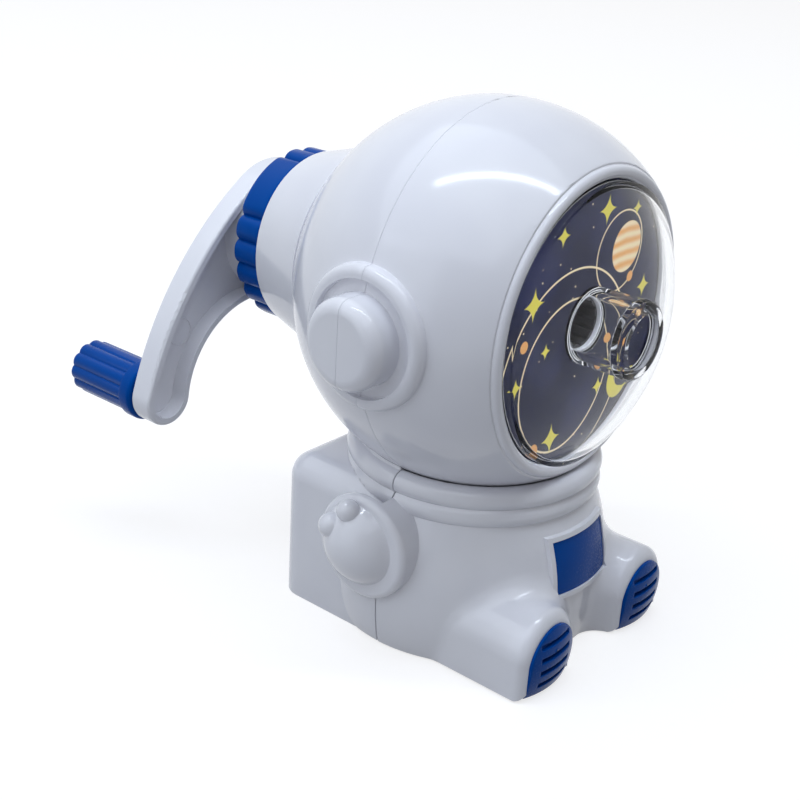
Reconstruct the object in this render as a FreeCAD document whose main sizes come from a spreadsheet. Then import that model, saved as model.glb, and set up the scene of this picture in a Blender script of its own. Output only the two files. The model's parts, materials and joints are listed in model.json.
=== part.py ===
"""Hand-cranked pencil sharpener moulded as a small sitting astronaut.

Frame: millimetres, +Z up, the figure looks along -Y, the origin is on the desk under the helmet's centre.
The pencil axis runs along Y through the helmet's centre.
"""
import FreeCAD, Part
import math
import os

doc = FreeCAD.newDocument("crank_pencil_sharpener")
sheet = doc.addObject("Spreadsheet::Sheet", "sizes")

DRIVING_SIZES = {
    # helmet and seam
    "head_radius": 40.0,
    "helmet_low": 31.0,
    "shell_wall": 2.2,
    "moving_gap": 0.3,
    "chute_radius": 16.6,
    "chute_reach": 4.0,
    # visor, card and bulkhead
    "bead_radius": 1.3,
    "bead_inset": 0.15,
    "visor_gap": 0.25,
    "visor_wall": 1.7,
    "visor_rim_proud": 2.2,
    "visor_proud": 12.2,
    "tube_radius": 7.8,
    "tube_bore": 5.6,
    "tube_proud": 0.5,
    "tube_round": 0.9,
    "card_setback": 0.2,
    "card_thickness": 0.6,
    "bulkhead_thickness": 1.8,
    # ear pods
    "ear_radius": 14.2,
    "ear_sink": 0.1,
    "ear_round": 1.9,
    "ear_groove_radius": 11.6,
    "ear_groove_depth": 1.3,
    "button_radius": 9.0,
    "button_proud": 6.0,
    "button_round": 2.8,
    # pencil guide
    "guide_bore": 4.3,
    "guide_radius": 7.2,
    "guide_flange_radius": 13.0,
    "guide_flange_thickness": 2.0,
    "nose_wall": 1.1,
    "insert_radius": 5.3,
    "insert_length": 6.0,
    "insert_bore": 4.5,
    "insert_depth": 0.8,
    "insert_groove": 0.47,
    "spigot_radius": 6.55,
    "spigot_length": 3.0,
    "thrust_gap": 0.6,
    "running_gap": 0.05,
    "seat_gap": 0.02,
    # cutter unit
    "point_angle": 9.0,
    "point_tip": 40.0,
    "cutter_radius": 5.8,
    "cutter_length": 30.6,
    "cutter_front": 11.6,
    "cutter_boss": 3.0,
    "cage_gap": 0.5,
    "axle_radius": 1.25,
    "axle_seat": 2.6,
    "clip_radius": 2.9,
    "clip_thickness": 0.7,
    "clip_setback": 1.4,
    "clip_mouth": 1.0,
    "point_hole": 0.4,
    "pinion_width": 5.0,
    "pinion_back": 29.0,
    "carrier_front": 6.0,
    "carrier_disc_radius": 15.0,
    "carrier_disc_thickness": 4.6,
    "carrier_radius": 12.4,
    "journal_radius": 12.0,
    "journal_front": 49.3,
    "journal_proud": 0.4,
    "drive_width": 10.0,
    "drive_length": 6.0,
    # collar, sleeve and lock ring
    "collar_base_radius": 24.1,
    "collar_back": 47.3,
    "collar_back_radius": 20.0,
    "collar_bore": 16.1,
    "sleeve_radius": 15.9,
    "sleeve_front": 34.0,
    "sleeve_bore": 13.8,
    "collar_shoulder": 15.5,
    "spigot_ring_radius": 17.75,
    "spigot_ring_back": 51.4,
    "sleeve_flange_radius": 17.55,
    "sleeve_flange_thickness": 1.1,
    "ring_radius": 19.5,
    "ring_width": 7.2,
    "ring_groove_radius": 1.05,
    "ring_round": 0.8,
    "ring_lip": 1.0,
    "lug_setback": 1.1,
    "lug_width": 1.8,
    "lug_play": 0.2,
    "lug_slack": 2.0,
    "lug_angle": 16.0,
    "lug_twist": 30.0,
    # crank
    "arm_front": 58.0,
    "arm_depth": 5.7,
    "arm_floor": 1.7,
    "arm_wall": 1.7,
    "arm_round": 0.7,
    "hub_radius": 15.5,
    "hub_skirt_inset": 0.4,
    "hub_skirt_wall": 1.8,
    "hub_core": 8.6,
    "tip_radius": 6.1,
    "tip_left": 35.2,
    "tip_drop": 32.4,
    "arm_outer_radius": 80.0,
    "arm_inner_radius": 21.0,
    "post_radius": 3.2,
    "post_length": 16.8,
    "pilot_depth": 11.6,
    "knob_round": 0.8,
    "knob_radius": 6.2,
    "knob_collar_radius": 6.7,
    "knob_collar_length": 3.4,
    "knob_length": 21.0,
    "knob_flute_radius": 1.1,
    "screw_radius": 1.4,
    "screw_head_radius": 2.9,
    "screw_head_height": 1.8,
    "crank_screw_length": 10.9,
    "washer_radius": 4.1,
    "washer_thickness": 0.6,
    # body
    "neck_radius": 25.0,
    "neck_wall": 1.6,
    "neck_link": 1.6,
    "neck_gap": 0.15,
    "neck_bead": 2.4,
    "neck_low": 32.7,
    "neck_pitch": 3.9,
    "torso_base_radius": 29.3,
    "torso_belly_radius": 30.6,
    "torso_belly_height": 13.0,
    "torso_top_radius": 26.2,
    "torso_top": 31.5,
    "pack_half_width": 28.1,
    "pack_back": 30.2,
    "pack_top": 33.6,
    "pack_round": 5.5,
    "pack_lap": 16.0,
    "floor_thickness": 1.7,
    "tongue_half_width": 18.0,
    "tongue_front": 12.0,
    "tray_half_width": 24.0,
    "tray_back": 26.2,
    "tray_height": 25.0,
    "tray_wall": 1.6,
    "desk_gap": 0.4,
    # legs and soles
    "leg_offset": 17.4,
    "leg_height": 8.6,
    "leg_radius": 9.0,
    "leg_front": 35.2,
    "leg_root": 10.0,
    "leg_round": 2.6,
    "leg_blend": 6.0,
    "sole_height": 7.6,
    "sole_radius": 7.3,
    "sole_seat": 34.2,
    "sole_dome": 22.0,
    "sole_front": 36.9,
    "tread_half_width": 4.7,
    "tread_pitch": 2.9,
    "tread_width": 1.1,
    "tread_depth": 1.5,
    # arms
    "arm_y": 3.2,
    "arm_z": 22.8,
    "shoulder_radius": 11.4,
    "shoulder_reach": 32.8,
    "shoulder_round": 1.4,
    "mitten_radius": 9.9,
    "mitten_centre": 28.4,
    "mitten_back": 0.8,
    "mitten_up": 0.6,
    "thumb_radius": 2.4,
    "thumb_out": 6.1,
    "thumb_back": 2.0,
    "thumb_up": 8.5,
    "finger_radius": 2.7,
    "finger_out": 7.0,
    "finger_back": 5.6,
    "finger_up": 4.2,
    "arm_root": 0.6,
    # chest panel
    "panel_half_width": 8.9,
    "panel_low": 15.6,
    "panel_high": 27.0,
    "panel_thickness": 0.7,
    "frame_width": 1.0,
    "frame_thickness": 1.0,
    # shell screws
    "boss_offset": 21.0,
    "boss_radius": 4.2,
    "screw_length": 14.0,
    "screw_seat": 6.0,
    "screw_hole_gap": 0.2,
}
# places on the helmet, as shares of its radius: the visor's opening and rim, and the collar's foot
OPENING_SHARE = 0.725
RIM_SHARE = 0.605
COLLAR_SHARE = 0.81
PINION_TEETH = 12
RING_TEETH = 23
CUTTER_TEETH = 10
CUTTER_TWIST = 70.0
CUTTER_SECTIONS = 6
CUTTER_LEAN = 0.3
CUTTER_ROOT = 0.8
KNOB_FLUTES = 11
GRIP_GROUPS = 3
GRIP_GROOVES = 5
GRIP_PITCH = 17.0
GRIP_START = 156.5
LUGS = 3
INSERT_RIBS = 12
TREAD_SLOTS = 4
# cross slots in the screws, as shares of the head's radius and height
CROSS_REACH = 0.6
CROSS_HALF_WIDTH = 0.14
CROSS_DEPTH = 0.45
# centre of a grip groove above the surface it is cut in, as a share of the groove's radius
GROOVE_RISE = 0.3
# tools run this far past the faces they cut, and joined solids this far into each other
LAP = 1.0
SPACE = 200.0
TINY = 0.01

for row, (alias, number) in enumerate(DRIVING_SIZES.items(), start=1):
    sheet.set(f"A{row}", alias)
    sheet.set(f"B{row}", str(number))
    sheet.setAlias(f"B{row}", alias)
doc.recompute()


class Size:
    """A length: its number, and the formula in sheet cells that gives it."""

    def __init__(self, value, formula):
        self.value = value
        self.formula = formula

    def __add__(self, other):
        other = as_size(other)
        return Size(self.value + other.value, f"({self.formula} + {other.formula})")

    def __sub__(self, other):
        other = as_size(other)
        return Size(self.value - other.value, f"({self.formula} - {other.formula})")

    def __mul__(self, other):
        other = as_size(other)
        return Size(self.value * other.value, f"({self.formula} * {other.formula})")

    def __truediv__(self, other):
        other = as_size(other)
        return Size(self.value / other.value, f"({self.formula} / {other.formula})")

    def __neg__(self):
        return Size(-self.value, f"(0 - {self.formula})")

    def __radd__(self, other):
        return as_size(other) + self

    def __rsub__(self, other):
        return as_size(other) - self

    def __rmul__(self, other):
        return as_size(other) * self


def as_size(item):
    """Plain numbers become sizes, so that both mix in sums."""
    if isinstance(item, Size):
        return item
    number = float(item)
    return Size(number, f"({number})")


def sine(angle):
    return Size(math.sin(math.radians(angle.value)), f"sin({angle.formula})")


def cosine(angle):
    return Size(math.cos(math.radians(angle.value)), f"cos({angle.formula})")


def cell(alias):
    return Size(float(sheet.get(alias)), f"sizes.{alias}")


UPRIGHT = FreeCAD.Rotation()
ALONG_Y = FreeCAD.Rotation(FreeCAD.Vector(1, 0, 0), -90)
ALONG_X = FreeCAD.Rotation(FreeCAD.Vector(0, 1, 0), 90)
BACK_TO_FRONT = FreeCAD.Rotation(FreeCAD.Vector(0, 0, 1), 180)
AXIS_Z = cell("helmet_low") + cell("head_radius")


def place(obj, at, turn=UPRIGHT):
    """Put an object at a point whose coordinates follow the sheet."""
    at = [as_size(item) for item in at]
    obj.Placement = FreeCAD.Placement(FreeCAD.Vector(*[item.value for item in at]), turn)
    for axis, item in zip("xyz", at):
        obj.setExpression("Placement.Base." + axis, item.formula)
    return obj


def primitive(kind, name, lengths, at, turn=UPRIGHT):
    """One of the standard solids, its lengths bound to the sheet."""
    obj = doc.addObject("Part::" + kind, name)
    for prop, item in lengths.items():
        obj.setExpression(prop, as_size(item).formula)
    return place(obj, at, turn)


def rod_y(name, radius, front, back, x=0, z=AXIS_Z):
    lengths = {"Radius": radius, "Height": as_size(back) - front}
    return primitive("Cylinder", name, lengths, (x, front, z), ALONG_Y)


def rod_x(name, radius, left, right, y, z):
    lengths = {"Radius": radius, "Height": as_size(right) - left}
    return primitive("Cylinder", name, lengths, (left, y, z), ALONG_X)


def rod_z(name, radius, low, high, x=0, y=0):
    return primitive("Cylinder", name, {"Radius": radius, "Height": as_size(high) - low}, (x, y, low))


def cone_y(name, front_radius, back_radius, front, back):
    lengths = {"Radius1": front_radius, "Radius2": back_radius, "Height": as_size(back) - front}
    return primitive("Cone", name, lengths, (0, front, AXIS_Z), ALONG_Y)


def ball(name, radius, at):
    return primitive("Sphere", name, {"Radius": radius}, at)


def ring_bead(name, radius, bead, at, turn=UPRIGHT):
    return primitive("Torus", name, {"Radius1": radius, "Radius2": bead}, at, turn)


def block(name, low, high):
    """A box between two corners."""
    low = [as_size(item) for item in low]
    high = [as_size(item) for item in high]
    lengths = {"Length": high[0] - low[0], "Width": high[1] - low[1], "Height": high[2] - low[2]}
    return primitive("Box", name, lengths, low)


def fuse(name, *pieces):
    obj = doc.addObject("Part::MultiFuse", name)
    obj.Shapes = list(pieces)
    return obj


def common(name, first, second):
    obj = doc.addObject("Part::Common", name)
    obj.Base = first
    obj.Tool = second
    return obj


def cut(name, base, *tools):
    obj = doc.addObject("Part::Cut", name)
    obj.Base = base
    obj.Tool = tools[0] if len(tools) == 1 else fuse(name + "_tools", *tools)
    return obj


def shaped(name, shape, at=(0, 0, 0), turn=UPRIGHT):
    """A solid worked out from the sheet's numbers."""
    obj = doc.addObject("Part::Feature", name)
    obj.Shape = shape
    return place(obj, at, turn)


def rounded(name, base, radius, chosen):
    """Round the edges of an object that pass a test."""
    doc.recompute()
    obj = doc.addObject("Part::Fillet", name)
    obj.Base = base
    edges = base.Shape.Edges
    obj.Edges = [(i, radius.value, radius.value) for i, edge in enumerate(edges, start=1) if chosen(edge)]
    return obj


def side_name(side):
    return "right" if side < 0 else "left"


SIDES = (-1, 1)
SEAM = as_size(0)
GAP = cell("moving_gap")
front_half = block("front_half", (-SPACE, -SPACE, -SPACE), (SPACE, SEAM, SPACE))
rear_half = block("rear_half", (-SPACE, SEAM, -SPACE), (SPACE, SPACE, SPACE))
drawer_half = block("drawer_half", (-SPACE, -SPACE, -SPACE), (SPACE, SEAM - GAP, SPACE))
HEAD = cell("head_radius")
HEAD_CENTRE = (0, 0, AXIS_Z)
cavity = ball("cavity", HEAD - cell("shell_wall"), HEAD_CENTRE)


def half_helmet(name, turn):
    obj = primitive("Sphere", name, {"Radius": HEAD}, HEAD_CENTRE, turn)
    obj.Angle3 = 180
    return obj


def is_circle(edge):
    return edge.Curve.TypeId == "Part::GeomCircle"


def circle_at_y(edge, y):
    return is_circle(edge) and abs(edge.Curve.Center.y - y.value) < TINY


def circle_at_x(edge, x):
    return is_circle(edge) and abs(edge.Curve.Center.x - x.value) < TINY


def ear_pods():
    """Ring-shaped pods on both sides, each with a thick round button."""
    pods = []
    reach = HEAD - cell("ear_sink")
    button_reach = HEAD + cell("button_proud")
    start = HEAD * 0.8
    for side in SIDES:
        label = side_name(side)

        def between(near, far):
            return (-far, -near) if side < 0 else (near, far)

        disc = rod_x("ear_disc_" + label, cell("ear_radius"), *between(start, reach), 0, AXIS_Z)
        disc = rounded("ear_round_" + label, disc, cell("ear_round"),
                       lambda edge: circle_at_x(edge, reach * side))
        groove = rod_x("ear_groove_" + label, cell("ear_groove_radius"),
                       *between(reach - cell("ear_groove_depth"), reach + LAP), 0, AXIS_Z)
        button = rod_x("ear_button_" + label, cell("button_radius"), *between(start, button_reach), 0, AXIS_Z)
        button = rounded("ear_button_round_" + label, button, cell("button_round"),
                         lambda edge: circle_at_x(edge, button_reach * side))
        pods.append(fuse("ear_pod_" + label, cut("ear_ring_" + label, disc, groove), button))
    return cut("ear_pods", fuse("ear_pods_solid", *pods), cavity)


ears = ear_pods()
BOSS = cell("boss_offset")
# the upper bosses stand closer together and higher, on the same circle about the axis as the lower ones
UPPER_ACROSS = BOSS * 0.39
UPPER_RISE = BOSS * 1.36
BOSS_PLACES = [(BOSS * side, AXIS_Z - BOSS) for side in SIDES]
BOSS_PLACES += [(UPPER_ACROSS * side, AXIS_Z + UPPER_RISE) for side in SIDES]


def boss_rods(name, radius, front, back):
    rods = [rod_y(f"{name}_{i}", radius, front, back, x, z) for i, (x, z) in enumerate(BOSS_PLACES)]
    return fuse(name, *rods)


RIM_Y = -(HEAD * RIM_SHARE)
CARD_FRONT = RIM_Y + cell("card_setback")
CARD_BACK = CARD_FRONT + cell("card_thickness")
BULKHEAD_BACK = CARD_BACK + cell("bulkhead_thickness")
OPENING = HEAD * OPENING_SHARE
BEAD = cell("bead_radius")
BEAD_MAJOR = OPENING + BEAD - cell("bead_inset")
NOSE_RADIUS = cell("insert_radius") + cell("nose_wall")
CHUTE_LOW = cell("helmet_low") - cell("chute_reach")
CHUTE_HIGH = AXIS_Z - HEAD * 0.6
chute = rod_z("chute", cell("chute_radius"), CHUTE_LOW, CHUTE_HIGH)


def helmet_front():
    """Front half of the helmet: shell, rolled rim, bulkhead behind the card, and screw bosses."""
    shell = cut("front_shell", half_helmet("front_ball", BACK_TO_FRONT), cavity,
                block("rim_cut", (-SPACE, -SPACE, 0), (SPACE, RIM_Y, SPACE)),
                rod_y("visor_opening", OPENING, -SPACE, CARD_BACK))
    rim = ring_bead("visor_rim_bead", BEAD_MAJOR, BEAD, (0, RIM_Y, AXIS_Z), ALONG_Y)
    wall_disc = rod_y("bulkhead_disc", HEAD, CARD_BACK, BULKHEAD_BACK)
    bulkhead = common("bulkhead", wall_disc, ball("bulkhead_limit", HEAD - LAP, HEAD_CENTRE))
    boss_stock = boss_rods("front_boss_rods", cell("boss_radius"), BULKHEAD_BACK - LAP, SEAM)
    bosses = common("front_bosses", boss_stock, ball("front_boss_limit", HEAD - LAP, HEAD_CENTRE))
    body = fuse("helmet_front_body", shell, rim, bulkhead, bosses, common("front_ears", ears, front_half))
    pilots = boss_rods("front_pilots", cell("screw_radius") + cell("running_gap"),
                       cell("screw_seat") - cell("screw_length") - LAP, SEAM + LAP)
    guide_hole = rod_y("guide_hole", NOSE_RADIUS + cell("running_gap"), CARD_BACK - LAP, BULKHEAD_BACK + LAP)
    return cut("helmet_front", body, pilots, guide_hole, chute)


def visor():
    """Clear dome whose inner tube carries the pencil from the front to the card."""
    rim_radius = OPENING - cell("bead_inset") - cell("visor_gap")
    rim_front = RIM_Y - cell("visor_rim_proud")
    apex = RIM_Y - cell("visor_proud")
    rise = rim_front - apex
    dome = (rim_radius * rim_radius + rise * rise) / (rise * 2)
    centre = (0, apex + dome, AXIS_Z)
    wall = cell("visor_wall")
    outside = common("visor_outside", rod_y("visor_skirt", rim_radius, -SPACE, CARD_FRONT),
                     ball("visor_dome", dome, centre))
    inside = common("visor_inside", rod_y("visor_hollow", rim_radius - wall, -SPACE, CARD_FRONT + LAP),
                    ball("visor_dome_inside", dome - wall, centre))
    tube_front = apex - cell("tube_proud")
    tube = rod_y("visor_tube", cell("tube_radius"), tube_front, CARD_FRONT)
    tube = rounded("visor_tube_round", tube, cell("tube_round"), lambda edge: circle_at_y(edge, tube_front))
    shell = fuse("visor_body", cut("visor_shell", outside, inside), tube)
    return cut("visor", shell, rod_y("visor_bore", cell("tube_bore"), -SPACE, CARD_FRONT + LAP))


def backdrop_card():
    disc = rod_y("card_disc", OPENING - cell("visor_gap"), CARD_FRONT, CARD_BACK)
    return cut("backdrop_card", disc, rod_y("card_hole", NOSE_RADIUS + cell("running_gap"), -SPACE, SPACE))


GUIDE_BACK = cell("carrier_front") + cell("spigot_length")
INSERT_FRONT = CARD_FRONT + cell("insert_depth")
INSERT_BACK = INSERT_FRONT + cell("insert_length")


def pencil_guide():
    """Tube that leads the pencil to the cutter, and the bearing of the carrier's front end."""
    flange_back = BULKHEAD_BACK + cell("guide_flange_thickness")
    spigot_front = cell("carrier_front") - cell("thrust_gap")
    body = fuse("guide_body",
                rod_y("guide_nose", NOSE_RADIUS, CARD_FRONT, BULKHEAD_BACK + LAP),
                rod_y("guide_flange", cell("guide_flange_radius"), BULKHEAD_BACK, flange_back),
                rod_y("guide_tube", cell("guide_radius"), flange_back - LAP, spigot_front),
                rod_y("guide_spigot", cell("spigot_radius"), spigot_front - LAP, GUIDE_BACK))
    return cut("pencil_guide", body,
               rod_y("guide_bore_cut", cell("guide_bore"), -SPACE, SPACE),
               rod_y("guide_mouth", cell("insert_radius"), -SPACE, INSERT_BACK))


def guide_insert():
    """Ribbed ring in the guide's mouth."""
    outer = cell("insert_radius") - cell("seat_gap")
    middle = cell("insert_bore")
    ring = cut("insert_ring", rod_y("insert_outer", outer, INSERT_FRONT, INSERT_BACK),
               rod_y("insert_inner", middle, -SPACE, SPACE))
    grooves = []
    for i in range(INSERT_RIBS):
        turn = 2 * math.pi * i / INSERT_RIBS
        grooves.append(rod_y(f"insert_groove_{i}", cell("insert_groove"), -SPACE, SPACE,
                             middle * math.cos(turn), AXIS_Z + middle * math.sin(turn)))
    return cut("guide_insert", ring, *grooves)


# The cutter's axis meets the pencil axis behind the point, in the common apex of the two bevel gears.
POINT_ANGLE = cell("point_angle")
SIN_POINT = sine(POINT_ANGLE)
COS_POINT = cosine(POINT_ANGLE)
APEX_Y = cell("point_tip") + cell("cutter_radius") / SIN_POINT
CUTTER_TURN = FreeCAD.Rotation(FreeCAD.Vector(1, 0, 0), 90 - POINT_ANGLE.value)


def on_cutter_axis(distance):
    """The point of the cutter's axis at a distance from the apex."""
    return (0, APEX_Y - COS_POINT * distance, AXIS_Z + SIN_POINT * distance)


def cutter_rod(name, radius, start, end):
    lengths = {"Radius": radius, "Height": as_size(end) - start}
    return primitive("Cylinder", name, lengths, on_cutter_axis(as_size(start)), CUTTER_TURN)


def cutter_slot(name, half_width, start, end):
    """A slot from the cutter's axis outwards, square to the pencil axis."""
    start = as_size(start)
    along = on_cutter_axis(start)
    lengths = {"Length": half_width * 2, "Width": HEAD, "Height": end - start}
    return primitive("Box", name, lengths, (-half_width, along[1], along[2]), CUTTER_TURN)


CUTTER_END = (APEX_Y - cell("cutter_front")) / COS_POINT
CUTTER_START = CUTTER_END - cell("cutter_length")
PINION_START = cell("pinion_back")
PINION_END = PINION_START + cell("pinion_width")
AXLE_START = (APEX_Y - cell("journal_front") - cell("axle_seat")) / COS_POINT
AXLE_END = (APEX_Y - cell("carrier_front")) / COS_POINT + cell("axle_seat")
AXLE_FIT = cell("axle_radius") + cell("running_gap")
CLIP_START = AXLE_END - cell("clip_setback")
CLIP_END = CLIP_START + cell("clip_thickness")
RATIO = PINION_TEETH / RING_TEETH
PINION_CONE = math.atan2(RATIO * SIN_POINT.value, 1 - RATIO * COS_POINT.value)
RING_CONE = PINION_CONE + math.radians(POINT_ANGLE.value)
MODULE_ANGLE = 2 * math.sin(PINION_CONE) / PINION_TEETH
PRESSURE_SLOPE = math.tan(math.radians(20))
TOOTH_SHARE = 0.40
SPACE_SHARE = 1 - TOOTH_SHARE
PINION_ADDENDUM = 0.85
PINION_DEDENDUM = 1.15
RING_ADDENDUM = 0.70
RING_DEDENDUM = 1.20


def gear_outline(teeth, share, pitch_cone, tip_shift, root_shift, distance):
    """Closed outline of a bevel gear's teeth at a distance from the apex, one tooth on top."""
    pitch_radius = math.tan(pitch_cone)
    tip_cone = pitch_cone + tip_shift * MODULE_ANGLE
    root_cone = pitch_cone + root_shift * MODULE_ANGLE
    half_pitch = share * math.pi / teeth
    tip_half = half_pitch - abs(math.tan(tip_cone) - pitch_radius) * PRESSURE_SLOPE / pitch_radius
    root_half = half_pitch + abs(math.tan(root_cone) - pitch_radius) * PRESSURE_SLOPE / pitch_radius
    points = []
    for i in range(teeth):
        middle = math.pi / 2 + 2 * math.pi * i / teeth
        corners = ((root_cone, -root_half), (tip_cone, -tip_half),
                   (tip_cone, tip_half), (root_cone, root_half))
        for cone, shift in corners:
            reach = distance * math.tan(cone)
            turn = middle + shift
            points.append(FreeCAD.Vector(reach * math.cos(turn), reach * math.sin(turn), distance))
    return Part.makePolygon(points + points[:1])


def gear_solid(teeth, share, pitch_cone, tip_shift, root_shift, start, end):
    outlines = [gear_outline(teeth, share, pitch_cone, tip_shift, root_shift, at) for at in (start, end)]
    return Part.makeLoft(outlines, True, True)


def cutter_pinion():
    teeth = gear_solid(PINION_TEETH, TOOTH_SHARE, PINION_CONE, PINION_ADDENDUM, -PINION_DEDENDUM,
                       PINION_START.value, PINION_END.value)
    wheel = shaped("pinion_teeth", teeth, (0, APEX_Y, AXIS_Z), CUTTER_TURN)
    bore = cutter_rod("pinion_bore", AXLE_FIT, PINION_START - LAP, PINION_END + LAP)
    return cut("cutter_pinion", wheel, bore)


def cutter_section(turn, height, radius):
    """Saw-tooth outline of the cutter, turned about its axis."""
    points = []
    for i in range(CUTTER_TEETH):
        tip = turn + 2 * math.pi * i / CUTTER_TEETH
        foot = tip + CUTTER_LEAN * 2 * math.pi / CUTTER_TEETH
        low = CUTTER_ROOT * radius
        points.append(FreeCAD.Vector(radius * math.cos(tip), radius * math.sin(tip), height))
        points.append(FreeCAD.Vector(low * math.cos(foot), low * math.sin(foot), height))
    return Part.makePolygon(points + points[:1])


def helical_cutter():
    start = CUTTER_START.value
    length = cell("cutter_length").value
    sections = []
    for i in range(CUTTER_SECTIONS):
        share = i / (CUTTER_SECTIONS - 1)
        turn = math.radians(CUTTER_TWIST * share)
        sections.append(cutter_section(turn, start + share * length, cell("cutter_radius").value))
    blades = shaped("cutter_blades", Part.makeLoft(sections, True, True), (0, APEX_Y, AXIS_Z), CUTTER_TURN)
    boss = cutter_rod("cutter_boss", cell("cutter_boss"), PINION_END, CUTTER_START + LAP)
    bore = cutter_rod("cutter_bore", AXLE_FIT, PINION_END - LAP, CUTTER_END + LAP)
    return cut("helical_cutter", fuse("cutter_body", blades, boss), bore)


def cutter_axle():
    return cutter_rod("cutter_axle", cell("axle_radius"), AXLE_START, AXLE_END)


def axle_clip():
    """Retaining ring on the axle's front end."""
    ring = cutter_rod("clip_ring", cell("clip_radius"), CLIP_START, CLIP_END)
    hole = cutter_rod("clip_hole", cell("axle_radius") + cell("seat_gap"), CLIP_START - LAP, CLIP_END + LAP)
    mouth = cutter_slot("clip_mouth", cell("clip_mouth"), CLIP_START - LAP, CLIP_END + LAP)
    return cut("axle_clip", ring, hole, mouth)


RING_FRONT = cell("collar_back") + GAP
RING_BACK = RING_FRONT + cell("ring_width")
JOURNAL_BACK = RING_BACK + cell("journal_proud")
DRIVE_BACK = JOURNAL_BACK + cell("drive_length")
TIP_X = -cell("tip_left")
TIP_Z = AXIS_Z - cell("tip_drop")
ARM_FRONT = cell("arm_front")
ARM_BACK = ARM_FRONT + cell("arm_depth")
ARM_FLOOR = ARM_BACK - cell("arm_floor")
POST_BACK = ARM_BACK + cell("post_length")
WASHER_FRONT = ARM_BACK - cell("washer_thickness")
CRANK_SCREW_TIP = ARM_BACK - cell("crank_screw_length")


CARRIER_FRONT = cell("carrier_front")
PLATE_BACK = CARRIER_FRONT + cell("carrier_disc_thickness")
CAGE_GAP = cell("cage_gap")
PINION_REACH = PINION_END * math.tan(PINION_CONE + PINION_ADDENDUM * MODULE_ANGLE)


def carrier_rooms():
    """What is cut from the carrier: room for the cutter, its pinion and axle, the pencil and the screw."""
    room = cell("cutter_radius") + CAGE_GAP
    cutter_ends = (PINION_END - LAP, CUTTER_END + CAGE_GAP)
    pinion_room = PINION_REACH + CAGE_GAP
    pinion_ends = (PINION_START - CAGE_GAP, PINION_END + CAGE_GAP)
    pencil = cell("guide_bore") + GAP
    cone_front = cell("point_tip") - pencil * COS_POINT / SIN_POINT
    bearing = cell("spigot_radius") + cell("running_gap")
    return [
        cutter_rod("cutter_room", room, *cutter_ends),
        cutter_slot("cutter_window", room, *cutter_ends),
        cutter_rod("pinion_room", pinion_room, *pinion_ends),
        cutter_slot("pinion_window", pinion_room, *pinion_ends),
        cutter_rod("axle_hole", cell("axle_radius") + cell("seat_gap"), AXLE_START - GAP, AXLE_END + LAP),
        rod_y("carrier_bearing", bearing, CARRIER_FRONT - LAP, GUIDE_BACK + GAP),
        rod_y("pencil_room", pencil, CARRIER_FRONT - LAP, cone_front + TINY),
        cone_y("point_room", pencil, cell("point_hole"), cone_front, cell("point_tip")),
        rod_y("carrier_pilot", cell("screw_radius") + cell("seat_gap"), CRANK_SCREW_TIP - GAP, SPACE),
    ]


ROOMS = carrier_rooms()


def carrier_end_plate():
    """Front plate of the carrier, which turns on the pencil guide. The axle and its clip hold it."""
    disc = rod_y("plate_disc", cell("carrier_disc_radius"), CARRIER_FRONT, PLATE_BACK)
    return cut("carrier_end_plate", disc, *ROOMS)


def cutter_carrier():
    """Cage that the crank turns: trough round the point, neck past the pinion, and journal."""
    trough_back = APEX_Y - COS_POINT * PINION_END - CAGE_GAP
    journal = cell("journal_front")
    drive = cell("drive_width") / 2
    neck_radius = (APEX_Y - journal) * math.tan(RING_CONE - RING_ADDENDUM * MODULE_ANGLE) - CAGE_GAP
    neck_top = AXIS_Z + SIN_POINT * PINION_END - PINION_REACH - CAGE_GAP
    neck = common("carrier_neck", rod_y("neck_rod", neck_radius, trough_back - LAP, journal + LAP),
                  block("neck_limit", (-SPACE, -SPACE, -SPACE), (SPACE, SPACE, neck_top)))
    body = fuse("carrier_body",
                rod_y("carrier_trough", cell("carrier_radius"), PLATE_BACK, trough_back),
                neck,
                rod_y("carrier_journal", cell("journal_radius"), journal, JOURNAL_BACK),
                block("carrier_drive", (-drive, JOURNAL_BACK - LAP, AXIS_Z - drive),
                      (drive, DRIVE_BACK, AXIS_Z + drive)))
    return cut("cutter_carrier", body, *ROOMS)


SLEEVE_BACK = cell("spigot_ring_back") + cell("sleeve_flange_thickness")


def gear_sleeve():
    """Fixed sleeve with the internal gear that the pinion rolls in."""
    gear_front = APEX_Y - PINION_END * COS_POINT
    gear_back = APEX_Y - PINION_START * COS_POINT + GAP
    reach = (APEX_Y - gear_back).value
    depth = (APEX_Y - gear_front).value
    body = fuse("sleeve_body",
                rod_y("sleeve_tube", cell("sleeve_radius"), cell("sleeve_front"), SLEEVE_BACK),
                rod_y("sleeve_flange", cell("sleeve_flange_radius"), cell("spigot_ring_back"), SLEEVE_BACK))
    spaces = gear_solid(RING_TEETH, SPACE_SHARE, RING_CONE, RING_DEDENDUM, -RING_ADDENDUM,
                        reach - LAP, depth + LAP)
    gear_turn = FreeCAD.Rotation(FreeCAD.Vector(1, 0, 0), 90)
    tooth_spaces = shaped("ring_gear_spaces", spaces, (0, APEX_Y, AXIS_Z), gear_turn)
    rear_bore = cell("journal_radius") + cell("running_gap")
    return cut("gear_sleeve", body, tooth_spaces,
               rod_y("sleeve_front_bore", cell("sleeve_bore"), 0, gear_front),
               rod_y("sleeve_rear_bore", rear_bore, gear_back, SPACE))


SPIGOT_RADIUS = cell("spigot_ring_radius")
LUG_FRONT = RING_FRONT + cell("lug_setback")
LUG_BACK = LUG_FRONT + cell("lug_width")


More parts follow.
